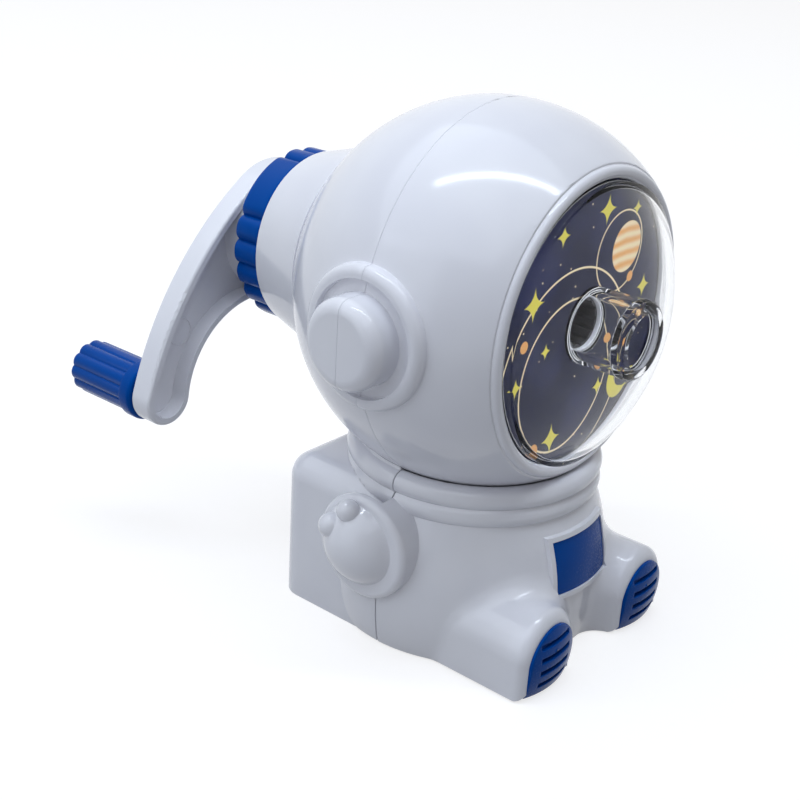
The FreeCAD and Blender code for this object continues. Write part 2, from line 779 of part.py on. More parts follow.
def lug_arcs(name, inner, outer, front, back, angle, start):
    """Arc-shaped blocks, evenly spaced round the pencil axis."""
    arcs = []
    for i in range(LUGS):
        turn = FreeCAD.Rotation(FreeCAD.Vector(0, 1, 0), start + 360.0 * i / LUGS) * ALONG_Y
        lengths = {"Radius": outer, "Height": back - front, "Angle": angle}
        arcs.append(primitive("Cylinder", f"{name}_{i}", lengths, (0, front, AXIS_Z), turn))
    core = rod_y(name + "_core", inner, front - LAP, back + LAP)
    return cut(name, fuse(name + "_sectors", *arcs), core)


def lock_ring():
    """Grip ring that locks the cutter unit, with inward lugs and finger grooves."""
    body = rod_y("ring_body", cell("ring_radius"), RING_FRONT, RING_BACK)
    body = rounded("ring_round", body, cell("ring_round"), is_circle)
    bore = rod_y("ring_bore", SPIGOT_RADIUS + cell("running_gap"), 0, SLEEVE_BACK + GAP)
    lip = rod_y("ring_lip", cell("sleeve_flange_radius") - cell("ring_lip"), 0, SPACE)
    out = cell("ring_radius") + cell("ring_groove_radius") * GROOVE_RISE
    grooves = []
    for group in range(GRIP_GROUPS):
        for i in range(GRIP_GROOVES):
            turn = math.radians(GRIP_START + 360.0 * group / GRIP_GROUPS + GRIP_PITCH * i)
            grooves.append(rod_y(f"grip_groove_{group}_{i}", cell("ring_groove_radius"), 0, SPACE,
                                 out * math.cos(turn), AXIS_Z + out * math.sin(turn)))
    hoop = cut("ring_hoop", body, bore, lip, *grooves)
    lugs = lug_arcs("ring_lugs", cell("collar_bore") + GAP, SPIGOT_RADIUS + LAP, LUG_FRONT, LUG_BACK,
                    cell("lug_angle"), 0.0)
    return fuse("lock_ring", hoop, lugs)


def torso_barrel(name, offset, low, high):
    """Barrel-shaped body: its side is one arc through the base, the belly and the top."""
    base = cell("torso_base_radius").value + offset
    belly = cell("torso_belly_radius").value + offset
    top = cell("torso_top_radius").value + offset
    foot = cell("desk_gap").value
    side = Part.Arc(FreeCAD.Vector(base, 0, foot),
                    FreeCAD.Vector(belly, 0, cell("torso_belly_height").value),
                    FreeCAD.Vector(top, 0, cell("torso_top").value)).toShape()
    corners = [side.Vertexes[-1].Point, FreeCAD.Vector(0, 0, cell("torso_top").value),
               FreeCAD.Vector(0, 0, foot), side.Vertexes[0].Point]
    closing = Part.makePolygon(corners)
    face = Part.Face(Part.Wire([side] + closing.Edges))
    barrel = face.revolve(FreeCAD.Vector(0, 0, 0), FreeCAD.Vector(0, 0, 1), 360)
    whole = shaped(name + "_whole", barrel)
    limit = block(name + "_limit", (-SPACE, -SPACE, low), (SPACE, SPACE, high))
    return common(name, whole, limit)


NECK_TOP = cell("neck_low") + cell("neck_pitch") + cell("neck_bead")
NECK_BORE = cell("neck_radius") - cell("neck_wall")
DESK_GAP = cell("desk_gap")
torso = torso_barrel("torso", 0.0, DESK_GAP, cell("torso_top"))


def neck_rings():
    """Two stacked round beads round the neck."""
    low = cell("neck_low")
    beads = [ring_bead(f"neck_bead_{i}", cell("neck_radius"), cell("neck_bead"),
                       (0, 0, low + cell("neck_pitch") * i)) for i in range(2)]
    wall = rod_z("neck_wall", cell("neck_radius"), low - cell("neck_bead"), NECK_TOP - GAP)
    bore = rod_z("neck_bore", NECK_BORE, 0, AXIS_Z)
    return cut("neck_rings", fuse("neck_solid", *beads, wall), bore)


neck = neck_rings()


def figure_arms():
    """Short arms: a shoulder disc and a mitten with a thumb and a finger tip.

    They sit on the drawer and reach back past the seam, clear of the back half, as finger grips.
    """
    pieces = []
    y = cell("arm_y")
    z = cell("arm_z")
    reach = cell("shoulder_reach")
    inner = cell("tray_half_width") + GAP + cell("arm_root")
    clear = cell("torso_belly_radius") + GAP
    out = cell("mitten_centre")
    for side in SIDES:
        label = side_name(side)
        near, far = (-reach, -inner) if side < 0 else (inner, reach)
        disc = rod_x("shoulder_" + label, cell("shoulder_radius"), near, far, y, z)
        disc = rounded("shoulder_round_" + label, disc, cell("shoulder_round"),
                       lambda edge: circle_at_x(edge, reach * side))
        hand = ball("mitten_" + label, cell("mitten_radius"),
                    (out * side, y + cell("mitten_back"), z + cell("mitten_up")))
        thumb = ball("thumb_" + label, cell("thumb_radius"),
                     ((out + cell("thumb_out")) * side, y + cell("thumb_back"), z + cell("thumb_up")))
        finger = ball("finger_" + label, cell("finger_radius"),
                      ((out + cell("finger_out")) * side, y + cell("finger_back"), z + cell("finger_up")))
        body = fuse("arm_body_" + label, disc, hand, thumb, finger)
        inside = block("arm_inside_" + label, (-inner, -SPACE, 0), (inner, SPACE, AXIS_Z))
        overhang = block("arm_overhang_" + label, (-clear, SEAM - GAP, 0), (clear, SPACE, AXIS_Z))
        pieces.append(cut("figure_arm_" + label, body, inside, overhang))
    return fuse("figure_arms", *pieces)


arms = figure_arms()
FLOOR = cell("floor_thickness")
TRAY_WIDE = cell("tray_half_width")
TRAY_LOW = FLOOR + GAP


def backpack():
    half = cell("pack_half_width")
    back = cell("pack_back")
    top = cell("pack_top")
    box = block("pack_box", (-half, SEAM, 0), (half, back, top))

    def outer_edge(edge):
        middle = edge.CenterOfMass
        at_back = abs(middle.y - back.value) < TINY
        at_top = abs(middle.z - top.value) < TINY
        at_side = abs(abs(middle.x) - half.value) < TINY
        return at_back and (at_top or at_side) or at_top and at_side

    return rounded("backpack", box, cell("pack_round"), outer_edge)


def body_rear():
    """Back half of the body: neck, backpack with the drawer bay, and the floor under the drawer."""
    lap = block("torso_lap_limit", (-SPACE, SEAM, 0), (SPACE, cell("pack_lap"), SPACE))
    link_top = NECK_TOP + cell("neck_link")
    link_rod = rod_z("neck_link_rod", cell("neck_radius"), cell("pack_top") - LAP, link_top)
    neck_link = cut("neck_link", link_rod, rod_z("neck_link_bore", NECK_BORE, 0, AXIS_Z))
    wide = cell("tongue_half_width")
    tongue = block("floor_tongue", (-wide, -cell("tongue_front"), 0), (wide, SEAM + LAP, FLOOR))
    solid = fuse("body_rear_solid",
                 common("rear_neck", neck, rear_half),
                 common("rear_neck_link", neck_link, rear_half),
                 common("torso_lap", torso, lap),
                 backpack(),
                 tongue)
    bay_half = TRAY_WIDE + GAP
    bay_top = cell("pack_top") - cell("shell_wall")
    bay = block("drawer_bay", (-bay_half, -LAP, FLOOR), (bay_half, cell("tray_back") + GAP, bay_top))
    seat = ball("helmet_seat", HEAD + cell("seat_gap"), HEAD_CENTRE)
    return cut("body_rear", solid, seat, bay, chute)


def helmet_rear():
    """Back half of the helmet, bonded to the neck: shell, collar with the spigot, and screw bosses."""
    collar_front = HEAD * COLLAR_SHARE
    solid = fuse("helmet_rear_solid",
                 half_helmet("rear_ball", UPRIGHT),
                 cone_y("collar", cell("collar_base_radius"), cell("collar_back_radius"),
                        collar_front, cell("collar_back")),
                 rod_y("collar_spigot", SPIGOT_RADIUS, collar_front, cell("spigot_ring_back")),
                 common("rear_ears", ears, rear_half))
    hollow = cut("helmet_rear_hollow", solid, cavity, chute,
                 rod_y("collar_shoulder_bore", cell("collar_shoulder"), 0, SPACE),
                 rod_y("collar_bore_cut", cell("collar_bore"), cell("sleeve_front"), SPACE))
    bosses = common("rear_bosses", boss_rods("rear_boss_rods", cell("boss_radius"), SEAM, HEAD),
                    ball("rear_boss_limit", HEAD - LAP, HEAD_CENTRE))
    holes = boss_rods("screw_holes", cell("screw_radius") + cell("screw_hole_gap"), SEAM - LAP,
                      cell("screw_seat") + LAP)
    wells = boss_rods("screw_wells", cell("screw_head_radius") + GAP, cell("screw_seat"), HEAD)
    slack = cell("lug_slack")
    lug_span = cell("lug_angle") + slack * 2
    inner = cell("collar_bore") - LAP
    outer = SPIGOT_RADIUS + LAP
    runs = lug_arcs("lug_runs", inner, outer, LUG_FRONT - cell("lug_play"), LUG_BACK + cell("lug_play"),
                    lug_span + cell("lug_twist"), -slack.value)
    entries = lug_arcs("lug_entries", inner, outer, LUG_FRONT, as_size(SPACE),
                       lug_span, (cell("lug_twist") - slack).value)
    return cut("helmet_rear", fuse("helmet_rear_bossed", hollow, bosses), holes, wells, runs, entries)


def arch(name, x, half, middle, base, front, back):
    """An upright arch drawn along Y: straight sides from a base to the middle, and a round top."""
    side = half.value
    foot = base.value
    shoulder = middle.value
    left_foot = FreeCAD.Vector(-side, 0, foot)
    left_top = FreeCAD.Vector(-side, 0, shoulder)
    crown = FreeCAD.Vector(0, 0, shoulder + side)
    right_top = FreeCAD.Vector(side, 0, shoulder)
    right_foot = FreeCAD.Vector(side, 0, foot)
    edges = Part.makePolygon([right_top, right_foot, left_foot, left_top]).Edges
    edges.append(Part.Arc(left_top, crown, right_top).toShape())
    face = Part.Face(Part.Wire(edges))
    return shaped(name, face.extrude(FreeCAD.Vector(0, (as_size(back) - front).value, 0)), (x, front, 0))


def near_leg_root(edge):
    """The curved edges where a leg runs into the barrel."""
    box = edge.BoundBox
    curved = edge.Curve.TypeId == "Part::GeomBSplineCurve"
    return curved and box.YMax < -cell("leg_root").value and box.ZMax > DESK_GAP.value + TINY


def legs():
    limbs = []
    front = -cell("leg_front")

    def upright_at_front(edge):
        at_front = edge.BoundBox.YMax < front.value + TINY
        return at_front and edge.BoundBox.ZMax > DESK_GAP.value + TINY

    for side in SIDES:
        label = side_name(side)
        x = cell("leg_offset") * side
        limb = arch("leg_" + label, x, cell("leg_radius"), cell("leg_height"), DESK_GAP,
                    front, -cell("leg_root"))
        limbs.append(rounded("leg_round_" + label, limb, cell("leg_round"), upright_at_front))
    return fuse("legs", *limbs)


def panel_patch(name, margin, thickness):
    """A patch of the front, raised over the barrel by a thickness."""
    half = cell("panel_half_width") + margin
    window = block(name + "_window", (-half, -SPACE, cell("panel_low") - margin),
                   (half, -cell("leg_root"), cell("panel_high") + margin))
    raised = torso_barrel(name + "_raised", thickness.value, DESK_GAP, cell("torso_top"))
    return cut(name, common(name + "_patch", raised, window), torso)


def sole_puck(name, side, margin, base):
    """The room of a sole, from its seat in the foot to the front."""
    return arch(f"{name}_{side_name(side)}", cell("leg_offset") * side, cell("sole_radius") + margin,
                cell("sole_height"), base, -as_size(SPACE), -cell("sole_seat"))


def drawer():
    """Front half of the body, which slides out with its tray."""
    front_torso = common("front_torso", torso, drawer_half)
    torso_and_legs = fuse("torso_and_legs", front_torso, legs())
    body = rounded("torso_with_legs", torso_and_legs, cell("leg_blend"), near_leg_root)
    frame = panel_patch("frame_patch", cell("frame_width"), cell("frame_thickness"))
    panel_seat = panel_patch("panel_seat", cell("seat_gap"), cell("frame_thickness") + LAP)
    tray_back = cell("tray_back")
    tray = block("tray_block", (-TRAY_WIDE, -cell("leg_root"), TRAY_LOW),
                 (TRAY_WIDE, tray_back, cell("tray_height")))
    solid = fuse("drawer_solid", body, frame, tray,
                 common("front_neck", neck, drawer_half),
                 arms)
    wall = cell("tray_wall")
    floor_top = TRAY_LOW + wall
    hollow = torso_barrel("torso_hollow", -cell("shell_wall").value, floor_top, cell("torso_top"))
    front_room = common("front_room", hollow, drawer_half)
    inner = TRAY_WIDE - wall
    back_room = block("back_room", (-inner, -cell("leg_root"), floor_top), (inner, tray_back - wall, AXIS_Z))
    throat = rod_z("drawer_throat", NECK_BORE, cell("tray_height"), AXIS_Z)
    seats = [sole_puck("sole_seat", side, cell("seat_gap"), SEAM) for side in SIDES]
    helmet_room = ball("helmet_room", HEAD + cell("neck_gap"), HEAD_CENTRE)
    rim_room = rod_y("rim_room", BEAD_MAJOR + BEAD + GAP, -SPACE, SEAM)
    wide = cell("tongue_half_width") + GAP
    tongue_room = block("tongue_room", (-wide, -cell("tongue_front") - GAP, -LAP),
                        (wide, SEAM + LAP, TRAY_LOW))
    return cut("drawer", solid, front_room, back_room, throat, panel_seat,
               helmet_room, rim_room, tongue_room, *seats)


def chest_panel():
    patch = panel_patch("panel", as_size(0), cell("panel_thickness"))
    patch.Label = "chest_panel"
    return patch


def sole(side):
    """Convex sole with level tread slots, flat where it meets the desk."""
    label = side_name(side)
    x = cell("leg_offset") * side
    z = cell("sole_height")
    dome = cell("sole_dome")
    front = -cell("sole_front")
    puck = sole_puck("sole_puck", side, 0, DESK_GAP + GAP)
    cap = common("sole_cap_" + label, puck, ball("sole_dome_" + label, dome, (x, front + dome, z)))
    slots = []
    half = cell("tread_half_width")
    low = z - (cell("tread_pitch") * (TREAD_SLOTS - 1) + cell("tread_width")) / 2
    for i in range(TREAD_SLOTS):
        bottom = low + cell("tread_pitch") * i
        slots.append(block(f"tread_{label}_{i}", (x - half, -SPACE, bottom),
                           (x + half, front + cell("tread_depth"), bottom + cell("tread_width"))))
    return cut(label + "_sole", cap, *slots)


def circle_crossing(first, first_radius, second, second_radius):
    """The crossing of two circles that lies below and right of the line between their centres."""
    line = second - first
    apart = line.Length
    along = (first_radius ** 2 - second_radius ** 2 + apart ** 2) / (2 * apart)
    across = math.sqrt(first_radius ** 2 - along ** 2)
    line.normalize()
    square = FreeCAD.Vector(-line.z, 0, line.x)
    return first + line * along + square * across


def toward(start, end, reach):
    """The point at a reach from start in the direction of end."""
    step = end - start
    step.normalize()
    return start + step * reach


def arm_outline(inset):
    """Outline of the arm from four tangent arcs: hub, tip, outer and inner edge, drawn in by an inset."""
    hub = FreeCAD.Vector(0, 0, AXIS_Z.value)
    tip = FreeCAD.Vector(TIP_X.value, 0, TIP_Z.value)
    hub_radius = cell("hub_radius").value
    tip_radius = cell("tip_radius").value
    outer_radius = cell("arm_outer_radius").value
    inner_radius = cell("arm_inner_radius").value
    outer = circle_crossing(hub, outer_radius - hub_radius, tip, outer_radius - tip_radius)
    inner = circle_crossing(hub, inner_radius + hub_radius, tip, inner_radius + tip_radius)
    outer_radius -= inset
    inner_radius += inset
    hub_outer = toward(outer, hub, outer_radius)
    tip_outer = toward(outer, tip, outer_radius)
    hub_inner = toward(inner, hub, inner_radius)
    tip_inner = toward(inner, tip, inner_radius)
    arcs = [
        Part.Arc(hub_outer, toward(outer, (hub_outer + tip_outer) * 0.5, outer_radius), tip_outer),
        Part.Arc(tip_outer, toward(tip, hub, inset - tip_radius), tip_inner),
        Part.Arc(tip_inner, toward(inner, (hub_inner + tip_inner) * 0.5, inner_radius), hub_inner),
        Part.Arc(hub_inner, toward(hub, tip, inset - hub_radius), hub_outer),
    ]
    return Part.Face(Part.Wire([arc.toShape() for arc in arcs]))


def crank_arm():
    """Curved arm of channel section, open to the front, with the hub boss and the knob's post."""
    plate = arm_outline(0.0).extrude(FreeCAD.Vector(0, cell("arm_depth").value, 0))
    channel = arm_outline(cell("arm_wall").value).extrude(FreeCAD.Vector(0, SPACE, 0))
    body = shaped("arm_plate", plate, (0, ARM_FRONT, 0))
    body = rounded("arm_plate_round", body, cell("arm_round"), lambda edge: edge.BoundBox.YLength < TINY)
    trough = shaped("arm_channel", channel, (0, ARM_FLOOR - SPACE, 0))
    boss_front = RING_BACK + GAP
    skirt = cell("hub_radius") - cell("hub_skirt_inset")
    boss = fuse("hub_boss",
                cut("hub_skirt", rod_y("hub_skirt_rod", skirt, boss_front, ARM_BACK - LAP),
                    rod_y("hub_skirt_bore", skirt - cell("hub_skirt_wall"), 0, ARM_FLOOR)),
                rod_y("hub_core", cell("hub_core"), JOURNAL_BACK + GAP, ARM_BACK - LAP))
    post = rod_y("knob_post", cell("post_radius"), ARM_BACK - LAP, POST_BACK, TIP_X, TIP_Z)
    half = cell("drive_width") / 2 + cell("running_gap")
    socket = block("drive_socket", (-half, 0, AXIS_Z - half), (half, DRIVE_BACK + GAP, AXIS_Z + half))
    head_room = rod_y("crank_head_room", cell("washer_radius") + cell("screw_hole_gap"), WASHER_FRONT, SPACE)
    screw_room = rod_y("crank_screw_room", cell("screw_radius") + cell("screw_hole_gap"), 0, SPACE)
    pilot_front = POST_BACK - cell("pilot_depth") - GAP
    pilot = rod_y("knob_pilot", cell("screw_radius") + cell("seat_gap"), pilot_front, SPACE, TIP_X, TIP_Z)
    solid = fuse("arm_solid", cut("arm_channelled", body, trough), boss, post)
    return cut("crank_arm", solid, socket, head_room, screw_room, pilot)


def pan_screw(name, x, z, head_front, head_back, tip, head_radius, shank_radius):
    """A cross-slot screw whose head is at the back and whose shank points forward."""
    head = rod_y(name + "_head", head_radius, head_front, head_back, x, z)
    shank = rod_y(name + "_shank", shank_radius, tip, head_front + TINY, x, z)
    arm = head_radius * CROSS_REACH
    slit = head_radius * CROSS_HALF_WIDTH
    floor = head_back - (head_back - head_front) * CROSS_DEPTH
    level = block(name + "_slot_level", (x - arm, floor, z - slit), (x + arm, head_back + LAP, z + slit))
    upright = block(name + "_slot_upright", (x - slit, floor, z - arm), (x + slit, head_back + LAP, z + arm))
    return cut(name, fuse(name + "_body", head, shank), level, upright)


def crank_screw():
    return pan_screw("crank_screw", as_size(0), AXIS_Z, ARM_BACK, ARM_BACK + cell("screw_head_height"),
                     CRANK_SCREW_TIP, cell("screw_head_radius"), cell("screw_radius"))


def crank_washer():
    disc = rod_y("washer_disc", cell("washer_radius"), WASHER_FRONT, ARM_BACK)
    hole = rod_y("washer_hole", cell("screw_radius") + cell("running_gap"), 0, SPACE)
    return cut("crank_washer", disc, hole)


KNOB_FRONT = ARM_BACK + GAP
KNOB_BACK = KNOB_FRONT + cell("knob_length")
KNOB_SEAT = POST_BACK + GAP
KNOB_HEAD = cell("post_radius") + cell("screw_hole_gap") * 2


def knob():
    """Fluted knob with a smooth collar, free to turn on the arm's post."""
    radius = cell("knob_radius")
    grip = rod_y("knob_grip", radius, KNOB_FRONT, KNOB_BACK, TIP_X, TIP_Z)
    grip = rounded("knob_grip_round", grip, cell("knob_round"), lambda edge: circle_at_y(edge, KNOB_BACK))
    out = radius + cell("knob_flute_radius") * GROOVE_RISE
    flutes = []
    for i in range(KNOB_FLUTES):
        turn = 2 * math.pi * i / KNOB_FLUTES
        flutes.append(rod_y(f"knob_flute_{i}", cell("knob_flute_radius"), 0, SPACE,
                            TIP_X + out * math.cos(turn), TIP_Z + out * math.sin(turn)))
    collar = rod_y("knob_collar", cell("knob_collar_radius"), KNOB_FRONT,
                   KNOB_FRONT + cell("knob_collar_length"), TIP_X, TIP_Z)
    collar = rounded("knob_collar_round", collar, cell("knob_round"), is_circle)
    body = fuse("knob_body", cut("knob_fluted", grip, *flutes), collar)
    return cut("knob", body,
               rod_y("knob_bore", cell("post_radius") + cell("running_gap"), 0, SPACE, TIP_X, TIP_Z),
               rod_y("knob_recess", KNOB_HEAD + GAP, KNOB_SEAT - GAP, SPACE, TIP_X, TIP_Z))


def knob_screw():
    return pan_screw("knob_screw", TIP_X, TIP_Z, KNOB_SEAT, KNOB_SEAT + cell("screw_head_height"),
                     POST_BACK - cell("pilot_depth"), KNOB_HEAD, cell("screw_radius"))


def shell_screws():
    seat = cell("screw_seat")
    screws = [pan_screw(f"shell_screw_{i}", x, z, seat, seat + cell("screw_head_height"),
                        seat - cell("screw_length"), cell("screw_head_radius"), cell("screw_radius"))
              for i, (x, z) in enumerate(BOSS_PLACES)]
    return fuse("shell_screws", *screws)


NODES = {
    "helmet_front": helmet_front(),
    "helmet_rear": helmet_rear(),
    "body_rear": body_rear(),
    "visor": visor(),
    "backdrop_card": backdrop_card(),
    "pencil_guide": pencil_guide(),
    "guide_insert": guide_insert(),
    "gear_sleeve": gear_sleeve(),
    "shell_screws": shell_screws(),
    "drawer": drawer(),
    "chest_panel": chest_panel(),
    "right_sole": sole(-1),
    "left_sole": sole(1),
    "lock_ring": lock_ring(),
    "carrier_end_plate": carrier_end_plate(),
    "cutter_carrier": cutter_carrier(),
    "cutter_axle": cutter_axle(),
    "axle_clip": axle_clip(),
    "helical_cutter": helical_cutter(),
    "cutter_pinion": cutter_pinion(),
    "crank_arm": crank_arm(),
    "crank_screw": crank_screw(),
    "crank_washer": crank_washer(),
    "knob": knob(),
    "knob_screw": knob_screw(),
}
doc.recompute()

for obj in doc.Objects:
    if "Invalid" in obj.State or "Error" in obj.State:
        raise RuntimeError(f"{obj.Name} failed: {obj.State}")
for label, obj in NODES.items():
    obj.Label = label
    if obj.Shape.isNull() or not obj.Shape.isValid():
        raise RuntimeError(f"{label} has no sound solid")

os.makedirs("parts", exist_ok=True)
for label, obj in NODES.items():
    obj.Shape.exportStep(f"parts/{label}.step")
    print(f"{label}: {len(obj.Shape.Solids)} solid, {obj.Shape.Volume:.1f} mm3")
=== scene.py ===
"""Looks of a crank pencil sharpener: a small sitting astronaut in white, blue and clear plastic.

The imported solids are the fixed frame. Each visible piece is a softly rounded copy of its solid or a new
mesh in the same place, with a procedural finish. Lengths are in metres.
"""
import json
import math

import bmesh
import bpy
from mathutils import Matrix, Vector
from mathutils.bvhtree import BVHTree


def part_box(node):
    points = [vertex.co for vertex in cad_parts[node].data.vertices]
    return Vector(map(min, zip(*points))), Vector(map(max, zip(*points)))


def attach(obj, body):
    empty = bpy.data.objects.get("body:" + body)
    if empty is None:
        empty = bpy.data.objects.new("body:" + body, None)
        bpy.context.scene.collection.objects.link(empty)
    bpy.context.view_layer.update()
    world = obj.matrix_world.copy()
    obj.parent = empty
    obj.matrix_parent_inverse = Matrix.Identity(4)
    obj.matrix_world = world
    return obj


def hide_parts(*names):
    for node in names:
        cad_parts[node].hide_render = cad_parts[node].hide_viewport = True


bl_info = {
    "name": "Crank Pencil Sharpener",
    "version": (1, 0, 0),
    "blender": (4, 5, 0),
    "location": "View3D > Sidebar > Sharpener",
    "description": "Dresses a crank pencil sharpener shaped as a sitting astronaut",
    "category": "Object",
}

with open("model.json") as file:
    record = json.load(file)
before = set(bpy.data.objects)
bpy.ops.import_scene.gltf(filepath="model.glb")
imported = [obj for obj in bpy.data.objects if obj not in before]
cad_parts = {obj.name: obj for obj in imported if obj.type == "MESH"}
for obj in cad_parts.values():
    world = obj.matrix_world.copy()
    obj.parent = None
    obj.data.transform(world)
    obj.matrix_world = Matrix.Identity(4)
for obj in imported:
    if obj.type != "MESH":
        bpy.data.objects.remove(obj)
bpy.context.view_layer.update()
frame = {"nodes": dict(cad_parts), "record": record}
NODES = frame["nodes"]
RECORD = frame["record"]
BODY_OF = {node: body for body, nodes in RECORD["behaviour"]["bodies"].items() for node in nodes}
SLOT_OF = {row["node"]: row["material_slot"] for row in RECORD["subparts"]}
MM = 0.001

# The pencil axis runs along Y through the helmet's centre.
CARD_LOW, CARD_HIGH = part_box("backdrop_card")
AXIS_HEIGHT = (CARD_LOW.z + CARD_HIGH.z) / 2
RING_LOW, RING_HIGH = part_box("lock_ring")
KNOB_LOW, KNOB_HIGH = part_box("knob")
KNOB_X = (KNOB_LOW.x + KNOB_HIGH.x) / 2
KNOB_Z = (KNOB_LOW.z + KNOB_HIGH.z) / 2

# The floor of the crank's channel lies this far before the knob's foot.
FLOOR_BEFORE_KNOB = 2.0 * MM
PIN_MARK_PLACE = (-28.5 * MM, KNOB_LOW.y - FLOOR_BEFORE_KNOB, 51.9 * MM)

# Points closer than this are merged, smaller faces are dropped and flatter folds are dissolved.
MERGE_DISTANCE = 0.02 * MM
SLIVER = 0.005 * MM
FLAT_FOLD = math.radians(0.2)
# A rounded copy's points may leave the solid by this share of the rounding.
STRAY_SHARE = 0.5


def length(name, description, default):
    return bpy.props.FloatProperty(name=name, description=description, default=default,
                                   unit="LENGTH", precision=5)


def angle(name, description, degrees):
    return bpy.props.FloatProperty(name=name, description=description, default=math.radians(degrees),
                                   subtype="ANGLE")


def colour(name, description, default):
    return bpy.props.FloatVectorProperty(name=name, description=description, default=default,
                                         subtype="COLOR", size=3, min=0.0, max=1.0)


def count(name, description, default):
    return bpy.props.IntProperty(name=name, description=description, default=default, min=1)


def amount(name, description, default):
    return bpy.props.FloatProperty(name=name, description=description, default=default)


def wattage(name, description, default):
    return bpy.props.FloatProperty(name=name, description=description, default=default, unit="POWER")


def location(name, description, default):
    return bpy.props.FloatVectorProperty(name=name, description=description, default=default, size=3,
                                         unit="LENGTH")


def direction(name, description, default):
    return bpy.props.FloatVectorProperty(name=name, description=description, default=default, size=3,
                                         subtype="DIRECTION")


class SharpenerFinish(bpy.types.PropertyGroup):
    """Colours of the mouldings and of the card."""
    white: colour("Shell white", "Cool white of the helmet, body and crank", (0.80, 0.80, 0.84))
    white_shade: colour("Shell shade", "Slightly greyer white of the flow marks", (0.75, 0.75, 0.80))
    blue: colour("Trim blue", "Blue of ring, knob, soles and chest panel", (0.0, 0.060, 0.31))
    blue_shade: colour("Trim shade", "Deeper blue of the flow marks", (0.0, 0.048, 0.26))
    blue_sheen: colour("Trim sheen", "Colour of the reflections on the blue trim", (0.10, 0.42, 1.0))
    dark: colour("Dark plastic", "Guide insert, gears and cutter carrier", (0.034, 0.031, 0.033))
    dark_shade: colour("Dark shade", "Flow marks of the dark plastic", (0.030, 0.028, 0.030))
    clear: colour("Clear plastic", "Faint tint of the visor", (0.985, 0.992, 1.0))
    steel: colour("Steel", "Screws, axle and cutter", (0.56, 0.56, 0.58))
    steel_shade: colour("Steel shade", "Duller patches of the steel", (0.448, 0.448, 0.464))
    navy: colour("Card navy", "Night sky of the card", (0.005, 0.007, 0.032))
    haze: colour("Card haze", "Paler clouds in the card's sky", (0.016, 0.020, 0.070))
    yellow: colour("Card yellow", "Sparkles and moon of the card", (0.66, 0.58, 0.09))
    tan: colour("Card tan", "Banded disc of the card", (0.72, 0.36, 0.12))
    cream: colour("Card cream", "Bands, orbits and dots of the card", (0.80, 0.66, 0.42))


class SharpenerSizes(bpy.types.PropertyGroup):
    """Sizes of the edges and of the grip pieces."""
    edge_round: length("Edge round", "Rounding of the mouldings' sharp edges", 0.15 * MM)
    fine_round: length("Fine edge round", "Rounding of small pieces' edges", 0.06 * MM)
    crease: angle("Crease", "Edges bent more than this are rounded", 32)
    foot_round: length("Foot round", "Rounding under the front of the feet", 2.4 * MM)
    foot_facets: count("Foot facets", "Steps of the rounding under the feet", 4)
    ring_radius: length("Ring radius", "Outside of the lock ring", 19.5 * MM)
    ring_bore: length("Ring bore", "Inside of the lock ring", 17.8 * MM)
    ring_lip: length("Ring lip", "Hole in the ring's back", 16.55 * MM)
    ring_lip_depth: length("Ring lip depth", "Thickness of the ring's back lip", 2.0 * MM)
    ring_round: length("Ring round", "Rounding of the ring's outer edges", 0.8 * MM)
    ring_depth: length("Groove depth", "Depth of the ring's finger grooves", 1.25 * MM)
    ring_narrow: amount("Groove narrowness", "1 for plain notches, more for narrower grooves", 2.9)
    ring_groups: count("Groove groups", "Groups of finger grooves round the ring", 3)
    ring_grooves: count("Grooves in a group", "Finger grooves in each group", 5)
    ring_pitch: angle("Groove pitch", "Angle from groove to groove", 17)
    ring_start: angle("Groove start", "Place of the first groove, from +X towards +Z", 156.5)
    ring_skin: length("Ring skin", "Outer layer of the ring that the grooves reach", 1.2 * MM)
    ring_segments: count("Ring segments", "Segments round the ring", 720)
    knob_radius: length("Knob radius", "Outside of the knob's grip", 6.2 * MM)
    knob_collar: length("Knob collar", "Outside of the knob's smooth collar", 6.7 * MM)
    knob_collar_length: length("Collar length", "Length of the smooth collar", 3.4 * MM)
    knob_bore: length("Knob bore", "Hole for the crank's post", 3.25 * MM)
    knob_recess: length("Knob recess", "Hole for the screw's head", 3.9 * MM)
    knob_recess_depth: length("Recess depth", "Depth of the hole for the screw's head", 4.5 * MM)
    knob_round: length("Knob round", "Rounding of the knob's end", 0.9 * MM)
    knob_flutes: count("Knob flutes", "Flutes round the knob", 11)
    knob_depth: length("Flute depth", "Depth of the knob's flutes", 0.55 * MM)
    knob_narrow: amount("Flute narrowness", "1 for plain notches, more for narrower flutes", 2.0)
    knob_run_in: length("Flute run-in", "Length over which a flute reaches its depth", 0.5 * MM)
    knob_skin: length("Knob skin", "Outer layer of the knob that the flutes reach", 1.1 * MM)
    knob_segments: count("Knob segments", "Segments round the knob", 264)
    pin_mark: length("Pin mark", "Radius of the ejector pin's ring in the crank", 3.1 * MM)
    pin_mark_half: length("Pin mark half width", "Half the width of that ring", 0.18 * MM)
    pin_mark_rise: length("Pin mark rise", "Height of that ring over the channel's floor", 0.18 * MM)
    pin_mark_segments: count("Pin mark segments", "Segments round that ring", 96)


